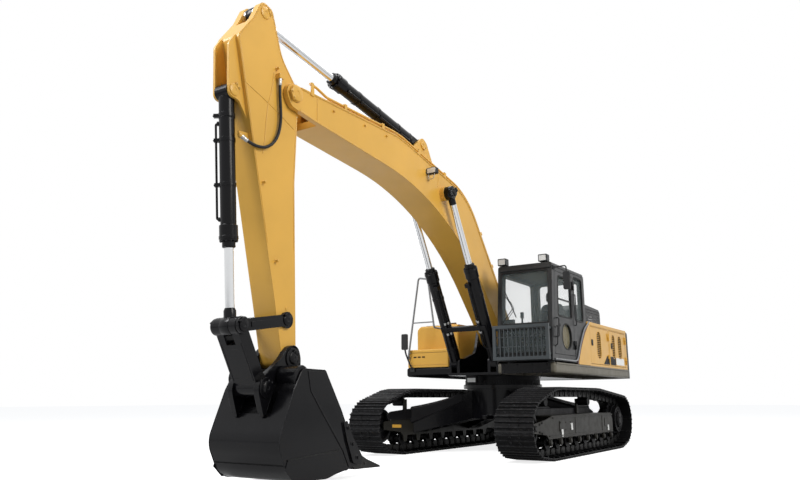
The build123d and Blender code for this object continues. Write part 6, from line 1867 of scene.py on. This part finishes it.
@dataclass
class Cab:
    """What the cab carries: seals, wiper, handles, lamps' lenses, mirrors, lining and seat.

    Attributes:
        right_y: Outer face of the right wall.
        left_y: Outer face of the left wall.
        floor_z: Underside of the floor.
        roof_z: Top of the roof.
        front_x: The leaning front's x at the floor and at the roof.
        rear_x: Outer face of the rear wall.
        seat_z: Top of the seat's base.
    """

    right_y: float = 0.576
    left_y: float = 1.518
    floor_z: float = 1.480
    roof_z: float = 3.050
    front_x: Span = (1.400, 1.253)
    rear_x: float = -0.250
    seat_z: float = 1.870

    def front(self, z: float) -> float:
        """The leaning front's x at a height."""
        share = (z - self.floor_z) / (self.roof_z - self.floor_z)
        return self.front_x[0] + (self.front_x[1] - self.front_x[0]) * share

    def on_front(self, outline: Outline) -> np.ndarray:
        """Points (y, z) laid on the leaning front."""
        spots = np.array(outline, dtype=float)
        return np.stack([self.front(spots[:, 1]), spots[:, 0], spots[:, 1]], axis=1)

    def front_normal(self) -> np.ndarray:
        """Outward direction of the leaning front."""
        slope = (self.front_x[0] - self.front_x[1]) / (self.roof_z - self.floor_z)
        return np.array((1.0, 0.0, slope)) / math.hypot(1.0, slope)

    def seals(self) -> Shell:
        """Seals of the fixed windows."""
        across = (self.right_y + 0.062, self.left_y - 0.062)
        right = rounded([(-0.10, 1.96), (1.18, 1.96), (1.09, 2.90), (-0.10, 2.90)], 0.075)
        left = rectangle((-0.13, 0.29), (2.18, 2.93), 0.075)
        back = np.insert(rectangle((0.686, 1.408), (2.24, 2.90), 0.075), 0, self.rear_x, axis=1)
        return joined([
            *(ring_seal(self.on_front(rectangle(across, up, 0.03)), self.front_normal(), 0.013, 0.007)
              for up in ((1.602, 1.988), (2.072, 2.928))),
            ring_seal(at_y(right, self.right_y), -LEFT),
            ring_seal(at_y(left, self.left_y), LEFT, 0.016),
            ring_seal(back, -FORWARD),
        ])

    def door_seals(self) -> Shell:
        """Seals of the door's two windows and its lock cylinder."""
        upper = rounded([(0.432, 2.195), (1.072, 2.195), (1.012, 2.859), (0.432, 2.859)], 0.06)
        lower = oval((0.502, 0.932), (1.676, 2.09), 0.19)
        lock = lathed([(0.022, -0.002), (0.022, 0.006), (0.014, 0.009)], (1.02, self.left_y, 2.05), LEFT, 20)
        return joined([ring_seal(at_y(upper, self.left_y), LEFT, 0.014, 0.005),
                       ring_seal(at_y(lower, self.left_y), LEFT, 0.012, 0.005), lock])

    def wiper(self) -> Shell:
        """Wiper on the windscreen: its motor boss, bent arm and blade."""
        def lay(places: Sequence[Point]) -> list[Point]:
            """Places on the leaning front, each given as y, z and its distance out."""
            return [(self.front(z) + out, y, z) for y, z, out in places]

        line = lay([(0.905, 2.180, 0.004), (0.800, 2.420, 0.006), (0.690, 2.640, 0.004)])
        return joined([
            pipe(lay([(0.665, 2.060, 0.006), (0.665, 2.075, 0.030), (0.860, 2.330, 0.024),
                      (0.700, 2.560, 0.006)]), 0.007, 0.05, 8),
            pipe(lay([(0.700, 2.060, 0.030), (0.885, 2.310, 0.022), (0.800, 2.450, 0.008)]), 0.005, 0.05, 8),
            swept(np.array(rectangle((-0.005, 0.005), (-0.010, 0.012))), resampled(np.array(line), 0.03),
                  LEFT),
            lathed([(0.030, -0.004), (0.030, 0.016), (0.020, 0.024)], *lay([(0.665, 2.050, 0.0)]),
                   self.front_normal(), 20),
        ])

    def lamps(self) -> None:
        """Lenses with rims and the feet of the two roof lamps."""
        lenses, rims = [], []
        for y in (self.right_y + 0.060, self.left_y - 0.160):
            lens = rectangle((-0.062, 0.062), (-0.046, 0.046), 0.014)
            lenses.append(plate(lens, (1.2295, y, 3.132), LEFT, UP, 0.006))
            rim = rectangle((y - 0.066, y + 0.066), (3.132 - 0.050, 3.132 + 0.050), 0.016)
            rims.append(ring_seal(np.insert(rim, 0, 1.2305, axis=1), FORWARD, 0.006, 0.010))
            rims.append(side_plate(rectangle((1.095, 1.185), (3.049, 3.062), 0.004), y - 0.045, y + 0.045))
            rims.append(bolts([(1.112, y - 0.030, 3.062), (1.112, y + 0.030, 3.062)], UP, 0.009))
        joined(lenses).piece("roof_lamp_lenses", "house", Look.LENS, "lamp", bevel=0.002)
        joined(rims).piece("roof_lamp_rims", "house", Look.PLASTIC, "lamp")

    def roof(self) -> Shell:
        """Gutter strips, hatch and bolts on the roof, and the visor over the windscreen."""
        hatch = plate(rectangle((0.10, 0.75), (0.78, 1.32), 0.06), (0.0, 0.0, 3.049), FORWARD, LEFT, 0.022)
        visor = self.on_front(rectangle((0.600, 1.494), (2.952, 2.984)))
        visor = Shell(np.concatenate([visor, visor + np.array((0.020, 0.0, 0.004))]),
                      [(3, 2, 1, 0), (4, 5, 6, 7), (0, 1, 5, 4), (1, 2, 6, 5), (2, 3, 7, 6), (3, 0, 4, 7)])
        gutters = [side_plate(rectangle((-0.22, 1.19), (2.982, 2.994)), *y)
                   for y in ((1.516, 1.527), (0.567, 0.578))]
        heads = bolts([(x, y, 3.0495) for x in (-0.15, 0.95) for y in (0.70, 1.40)], UP, 0.012)
        return joined([hatch, visor, *gutters, heads])

    def fittings(self) -> Shell:
        """Two grab handles and a short weld line on the cab's left wall."""
        rail = [(1.270, 1.516, 1.72), (1.270, 1.560, 1.72), (1.225, 1.560, 2.02), (1.225, 1.516, 2.02)]
        grab = [(0.325, 1.516, 2.10), (0.305, 1.545, 2.10), (0.305, 1.545, 2.62), (0.325, 1.516, 2.62)]
        weld = bead([(0.355, 1.5185, 1.62), (0.355, 1.5185, 1.72)], 0.004, LEFT)
        return joined([pipe(rail, 0.010, 0.03), pipe(grab, 0.009, 0.02), weld])

    def inside(self) -> None:
        """Roof lining, monitor, travel levers with their pedals and the floor's mat."""
        lining = side_plate([(-0.18, 2.945), (1.18, 2.945), (1.17, 2.972), (-0.18, 2.972)], 0.645, 1.450)
        lining.piece("roof_lining", "house", Look.LINING, "plastic", bevel=0.008)
        pieces = [
            plate(rectangle((-0.09, 0.09), (-0.06, 0.06), 0.012), (1.200, 0.735, 2.10), LEFT, UP, 0.045),
            pipe([(1.215, 0.660, 1.98), (1.215, 0.700, 2.06)], 0.014, 0.02),
        ]
        grip = [(0.012, 0.0), (0.020, 0.02), (0.021, 0.10), (0.012, 0.115)]
        pedal = rounded([(1.135, 1.56), (1.245, 1.60), (1.235, 1.63), (1.125, 1.59)], 0.008)
        for y in (0.985, 1.105):
            pieces.append(pipe([(1.150, y, 1.545), (1.135, y, 1.80), (1.060, y, 2.02)], 0.011, 0.08))
            pieces.append(lathed(grip, (1.062, y, 2.015), np.array((-0.33, 0.0, 0.94)), 16))
            pieces.append(side_plate(pedal, y - 0.05, y + 0.05))
        joined(pieces).piece("cab_controls", "house", Look.PLASTIC, "plastic", bevel=0.002)
        mat = plate(rectangle((0.62, 1.26), (0.68, 1.42), 0.04), (0.0, 0.0, 1.5398), FORWARD, LEFT, 0.012)
        mat.piece("floor_mat", "house", Look.RUBBER, "rubber")

    def mirror_faces(self) -> None:
        """Mirror glass on the rear faces of both heads."""
        faces = [plate(rectangle((-half, half), (-0.130, 0.130), 0.02), place, -LEFT, UP, 0.004)
                 for half, place in ((0.046, (1.2362, 1.755, 2.720)), (0.052, (0.9232, -1.496, 1.916)))]
        joined(faces).piece("mirror_faces", "house", Look.CHROME, "chrome_rod")

    def seat(self) -> None:
        """Seat, back and head cushions in the place of the plain seat."""
        y, z = (self.left_y + self.right_y) / 2, self.seat_z
        squab, *_ = [cushion.build() for cushion in (
            Cushion("seat_squab", (0.410, y, z + 0.062), (0.255, 0.218, 0.046), 2.0, (-0.10, 0.0, 0.10)),
            Cushion("seat_back", (0.130, y, z + 0.390), (0.272, 0.218, 0.044), -78.0, (-0.13, -0.04, 0.05)),
            Cushion("seat_head", (0.070, y, z + 0.770), (0.088, 0.108, 0.028), -88.0),
        )]
        posts = [pipe([(0.085, y + out, z + 0.60), (0.070, y + out, z + 0.72)], 0.006, 0.02, 8)
                 for out in (-0.05, 0.05)]
        base = side_plate(rectangle((0.135, 0.66), (z - 0.004, z + 0.018), 0.01), y - 0.225, y + 0.225)
        joined([*posts, base]).piece("seat_frame", "house", Look.PLASTIC, "plastic", bevel=0.003)
        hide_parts("operator_seat")

    def build(self) -> None:
        """Builds the cab's pieces."""
        self.seals().piece("window_seals", "house", Look.RUBBER, "rubber")
        self.door_seals().piece("door_seals", "cab_door", Look.RUBBER, "rubber")
        blind = oval((0.495, 0.939), (1.669, 2.097), 0.19)
        side_plate(blind, 1.4748, 1.4770).piece("door_blind", "cab_door", Look.OLIVE, "plastic")
        self.wiper().piece("wiper", "house", Look.PLASTIC, "plastic")
        self.lamps()
        self.roof().piece("roof_trim", "house", Look.CAB_GREY, "black_paint", bevel=0.002)
        self.fittings().piece("cab_handles", "house", Look.CAB_GREY, "black_paint")
        self.inside()
        self.mirror_faces()
        self.seat()


# House


def vent(x: float, half: float, low: float, high: float, face: float) -> tuple[Shell, Shell]:
    """Dark screen and slats of one oval vent on the left.

    A slat at height z reaches as far as a circle of the vent's half width, centred that far
    inside the nearer end, does there: half * sqrt(1 - beyond ** 2 / half ** 2).

    Args:
        x: The vent's middle.
        half: Half its width.
        low: Its lower end.
        high: Its upper end.
        face: Outer face of the cover.

    Returns:
        The screen and the slats with their rim.
    """
    rim = oval((x - half, x + half), (low, high), half * 0.96)
    section = np.array([(-0.0085, -0.004), (-0.0010, -0.012), (0.0010, -0.010), (-0.0065, 0.000)])
    pieces = []
    for z in np.arange(low + 0.045, high - 0.03, 0.034):
        beyond = max(0.0, low + half - z, z - high + half)
        reach = half * min(1.0, math.sqrt(max(1.0 - beyond ** 2 / half ** 2, 0.05)))
        pieces.append(swept(section, resampled(at_y([(x - reach, z), (x + reach, z)], face), 0.05), LEFT))
    pieces.append(ring_seal(at_y(rim, face + 0.001), LEFT, 0.007, 0.003))
    return side_plate(rim, face - 0.0125, face - 0.0105), joined(pieces)


@dataclass
class SideDoor:
    """Trim of one side door: vents, a ridge along its edge and a latch.

    Attributes:
        body: The door's body.
        name: What its pieces' names end with.
        vents: x, half width, low z and high z of its vents.
        across: Its rear and front edge.
        latch_x: Middle of the latch.
        side: 1 for left, -1 for right.
        up: Its lower and upper edge.
        face: Outer face of the covers.
    """

    body: str
    name: str
    vents: tuple[tuple[float, ...], ...]
    across: Span
    latch_x: float
    side: int = 1
    up: Span = (1.505, 2.148)
    face: float = 1.506

    def latch(self) -> Shell:
        """Latch: its cup, the cup's rim and the paddle."""
        x = self.latch_x
        cup = rectangle((x - 0.045, x + 0.045), (1.82, 1.92), 0.02)
        paddle = rectangle((x - 0.028, x + 0.028), (1.845, 1.872), 0.006)
        return joined([side_plate(cup, self.face - 0.001, self.face + 0.003),
                       ring_seal(at_y(cup, self.face + 0.003), LEFT, 0.006, 0.003),
                       side_plate(paddle, self.face, self.face + 0.012)])

    def build(self) -> None:
        """Builds the door's pieces."""
        screens, slats = zip(*(vent(*place, self.face) for place in self.vents))
        ridge = ring_seal(at_y(rectangle(self.across, self.up, 0.03), self.face), LEFT, 0.005, 0.003)
        for shell, label, look, slot in (
                (joined(screens), "vent_screens", Look.SCREEN, "black_paint"),
                (joined([*slats, ridge]), "vent_slats", Look.YELLOW, "yellow_paint"),
                (self.latch(), "latch", Look.PLASTIC, "plastic")):
            on_side(shell, self.side).piece(f"{label}_{self.name}", self.body, look, slot)


@dataclass
class House:
    """Trim of the slewing house: wing plates, rails, vents, latches, caps and steps.

    Attributes:
        cover_y: Outer face of the side covers.
        wing_edge: Upper edge of the yellow plate in front of the left cover.
        rail: The grey rail along the left cover and under the cab.
        cover_up: Lower and upper edge of the covers' caps.
        tank_top: Top of the tanks' steps.
    """

    cover_y: float = 1.506
    wing_edge: tuple[Span, ...] = ((0.222, 1.504), (0.056, 1.752), (-0.168, 2.012), (-0.404, 2.186))
    rail: tuple[Point, ...] = (
        (-0.400, 1.533, 2.222), (-0.100, 1.533, 2.062), (0.122, 1.533, 1.800), (0.296, 1.533, 1.528),
        (0.420, 1.533, 1.500), (1.280, 1.533, 1.500), (1.296, 1.524, 1.498),
    )
    cover_up: Span = (2.172, 2.229)
    tank_top: float = 2.236

    def wing(self) -> None:
        """Slanted yellow plate in front of the left cover, a dark maroon strip along its slanted edge that
        paints the shade in the gap towards the cab, and the grey rail.
        """
        field = side_plate([(-0.404, 1.456), (0.222, 1.456), *self.wing_edge], 1.5185, 1.5262)
        field.piece("wing_plate", "house", Look.YELLOW, "yellow_paint", bevel=0.002)
        # Dark maroon strip along the plate's slanted edge: painted shade for the gap between the cab and the
        # cover.
        strip = [*self.wing_edge, (-0.404, 2.226), (-0.120, 2.052), (0.108, 1.786), (0.282, 1.520),
                 (0.290, 1.458), (0.222, 1.456)]
        side_plate(strip, 1.5185, 1.5240).piece("wing_gap_painted_shade", "house", Look.PAINTED_SHADE, "yellow_paint")
        pipe(self.rail, 0.0125, 0.07).piece("cover_rail", "house", Look.RAIL, "rail")

    def doors(self) -> None:
        """The three side doors' trim and the blank plates on the left ones."""
        SideDoor("side_door_front", "front", ((-0.950, 0.115, 1.600, 2.090),),
                 (-1.545, -0.440), -0.570).build()
        SideDoor("side_door_rear", "rear", ((-1.830, 0.090, 1.640, 2.090), (-2.240, 0.110, 1.640, 2.090)),
                 (-2.590, -1.585), -1.715).build()
        SideDoor("side_door_right", "right", ((-2.200, 0.110, 1.600, 2.060),),
                 (-2.590, -1.860), -1.960, side=-1).build()
        for outline, name, body, look, slot in (
                ([(-1.532, 1.512), (-1.180, 1.512), (-1.400, 1.668), (-1.532, 1.668)],
                 "blank_band_front", "side_door_front", Look.RUBBER, "black_paint"),
                (rectangle((-1.930, -1.600), (1.512, 1.668)),
                 "blank_band_rear", "side_door_rear", Look.RUBBER, "black_paint"),
                (rectangle((-2.480, -1.955), (1.524, 1.656), 0.012),
                 "blank_plate", "side_door_rear", Look.LENS, "rail")):
            side_plate(outline, self.cover_y - 0.0005, self.cover_y + 0.0025).piece(name, body, look, slot)

    def pump_cover(self) -> None:
        """Fixed vented panel over the pump's bay on the right, with its bolts."""
        y = self.cover_y
        screen, slats = vent(-1.400, 0.110, 1.600, 2.060, y)
        panel = side_plate(rectangle((-1.772, -1.028), (1.498, 2.154), 0.01), y - 0.030, y - 0.013)
        rim = rectangle((-1.766, -1.034), (1.504, 2.148), 0.02)
        frame = ring_seal(at_y(rim, y - 0.012), LEFT, 0.012)
        heads = bolts([(x, y - 0.013, z) for x in (-1.735, -1.065) for z in (1.54, 1.83, 2.12)], LEFT, 0.011)
        cover = mirrored(joined([panel, frame, heads, slats]))
        cover.piece("pump_cover", "house", Look.YELLOW, "yellow_paint")
        mirrored(screen).piece("pump_cover_screen", "house", Look.SCREEN, "black_paint")

    def edges(self) -> None:
        """Cover caps, skirt lip and the front panel under the cab."""
        caps = [on_side(side_plate(rectangle((-2.690, front), self.cover_up, 0.01), 1.504, 1.5125), side)
                for front, side in ((-0.414, 1), (-1.785, -1))]
        joined(caps).piece("cover_caps", "house", Look.YELLOW, "yellow_paint", bevel=0.003)
        lip = side_plate(rectangle((-2.690, 1.262), (1.424, 1.4515), 0.008), 1.5185, 1.5275)
        lip.piece("skirt_lip", "house", Look.SKIRT, "grey_paint", bevel=0.003)
        panel = box((1.302, 1.3095), (0.60, 1.440), (1.292, 1.4505))
        spots = [(1.3095, y, z) for y in (0.64, 0.88, 1.13, 1.38) for z in (1.325, 1.42)]
        joined([panel, bolts(spots, FORWARD, 0.011)]).piece(
            "deck_front_panel", "house", Look.BLACK, "black_paint", bevel=0.002)

    def tanks(self) -> None:
        """Filler caps, non-slip studs, slots and weld lines of the right-hand row."""
        def grid(across: np.ndarray, along: np.ndarray, z: float) -> np.ndarray:
            """Places in rows on a level face."""
            x, y = np.meshgrid(across, along)
            return np.stack([x.ravel(), y.ravel(), np.full(x.size, z)], axis=1)

        pieces, cap = [], [(0.050, -0.002), (0.050, 0.012), (0.044, 0.020)]
        for x in (0.15, -0.575):
            pieces.append(lathed(cap, (x, -0.90, 2.275), UP, 28))
            pieces.append(box((x - 0.012, x + 0.012), (-0.955, -0.845), (2.285, 2.301)))
        joined(pieces).piece("filler_caps", "house", Look.BLACK, "black_paint", bevel=0.002)
        stud = lathed([(0.011, -0.001), (0.009, 0.005)], (0, 0, 0), UP, 8)
        spots = grid(np.arange(0.0, 0.58, 0.055) - 0.14, np.arange(-1.32, -1.07, 0.055), self.tank_top)
        strips = [box(x, (-1.34, -1.06), (2.2295, self.tank_top)) for x in ((-0.16, 0.44), (-0.88, -0.26))]
        strips.append(repeated(stud, np.concatenate([spots, spots - 0.71 * FORWARD])))
        joined(strips).piece("tank_steps", "house", Look.PLASTIC, "plastic")
        lid = grid(np.arange(0.56, 0.80, 0.05), np.arange(-1.40, -0.70, 0.05), 1.770)
        repeated(stud, lid).piece("lid_studs", "toolbox_lid", Look.YELLOW, "yellow_paint")
        slots = [box((0.8495, 0.8535), (y - 0.030, y + 0.030), (1.625, 1.648)) for y in (-1.33, -1.24, -1.15)]
        joined(slots).piece("toolbox_slots", "house", Look.BLACK, "black_paint")
        edge = bead([(0.853, -1.46, 1.500), (0.853, -0.67, 1.500)], 0.004, UP)
        seam = side_plate(rectangle((-0.905, 0.46), (1.50, 1.506)), -1.509, -1.505)
        joined([edge, seam]).piece("tank_seams", "house", Look.YELLOW, "yellow_paint")

    def rear(self) -> None:
        """Counterweight's lifting eyes, the hood's bolts and its louvres."""
        eye = rounded([(-2.98, 2.226), (-2.80, 2.226), (-2.83, 2.315), (-2.95, 2.315)], 0.03)
        both([side_plate(eye, 0.93, 0.97)]).piece("lifting_eyes", "house", Look.CASTING, "cast", bevel=0.004)
        spots = [(x, y, 2.2595) for x in (-2.62, -2.18) for y in (-0.50, 0.0, 0.36, 1.18)]
        spots += [(-0.92, y, 2.2595) for y in (-0.50, 0.0, 0.5, 1.18)]
        bolts(spots, UP, 0.013).piece("hood_bolts", "engine_hood", Look.CASTING, "cast")
        section = np.array([(-0.006, -0.006), (0.006, -0.006), (0.001, 0.004), (-0.005, 0.004)])
        slats = [swept(section, resampled(np.array([(-2.045, 1.203, z), (-1.115, 1.203, z)]), 0.2), LEFT)
                 for z in np.arange(2.330, 2.600, 0.055)]
        joined(slats).piece("hood_louvres", "engine_hood", Look.BLACK, "black_paint")

    def build(self) -> None:
        """Builds the house's pieces."""
        self.wing()
        self.doors()
        self.pump_cover()
        self.edges()
        self.tanks()
        self.rear()


# Dressing of the solids

NODE_LOOKS: dict[Look, tuple[str, ...]] = {
    Look.YELLOW: ("boom", "boom_pipes", "arm", "body_frame_left", "body_frame_right", "fuel_tank",
                  "hydraulic_tank", "side_door_front", "side_door_rear", "side_door_right", "toolbox",
                  "toolbox_lid"),
    Look.BLACK: ("bucket", "rockers", "bucket_link", "boom_barrels", "arm_barrel", "bucket_barrel",
                 "centre_frame", "revolving_frame", "deck_right", "engine_hood", "cylinder_pipes"),
    Look.FRAME: ("track_frame_left", "track_frame_right"),
    Look.CAB_GREY: ("cab_floor", "cab_front", "cab_left", "cab_right", "cab_rear", "cab_roof", "cab_door",
                    "work_lamps"),
    Look.GUARD: ("cab_guard",),
    Look.SKIRT: ("deck_left",),
    Look.IRON: ("track_left", "track_right", "track_rollers"),
    Look.CASTING: ("sprockets", "idlers", "slewing_ring", "counterweight", "engine_block"),
    Look.CHROME: ("boom_rods", "arm_rod", "bucket_rod"),
    Look.TOOTH: ("bucket_teeth",),
    Look.RAIL: ("hand_rail_right",),
    Look.CLOTH: ("operator_seat",),
    Look.PLASTIC: ("control_consoles", "mirrors"),
    Look.RUBBER: ("bucket_hose",),
    Look.GLASS: ("cab_glass", "cab_door_glass"),
}


def dress_solids(frame: dict) -> None:
    """Gives each solid of the frame its finish.
    """
    for look, names in NODE_LOOKS.items():
        for name in names:
            obj = frame["nodes"][name]
            if not obj.material_slots:
                obj.data.materials.append(look.material())
            for place in obj.material_slots:
                place.material = look.material()


def main() -> None:
    """Builds the sub-assemblies in order and reports each one."""
    logging.basicConfig(level=logging.INFO, format="%(name)s: %(message)s")
    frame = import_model()
    Studio().build()
    LOG.info("studio built")
    BucketHose().build()
    LOG.info("hose built")
    dress_solids(frame)
    LOG.info("%d solids dressed", len(frame["nodes"]))
    tracks = [kind(side) for side in (1, -1) for kind in (Track, TrackFrame)]
    for part in (*tracks, SlewBearing(), CentreLegs(), Boom(), Arm(), Cylinders(), Bucket(), Linkage(), Cab(),
                 House()):
        part.build()
        LOG.info("%s built", type(part).__name__)


if __name__ == "__main__":
    main()
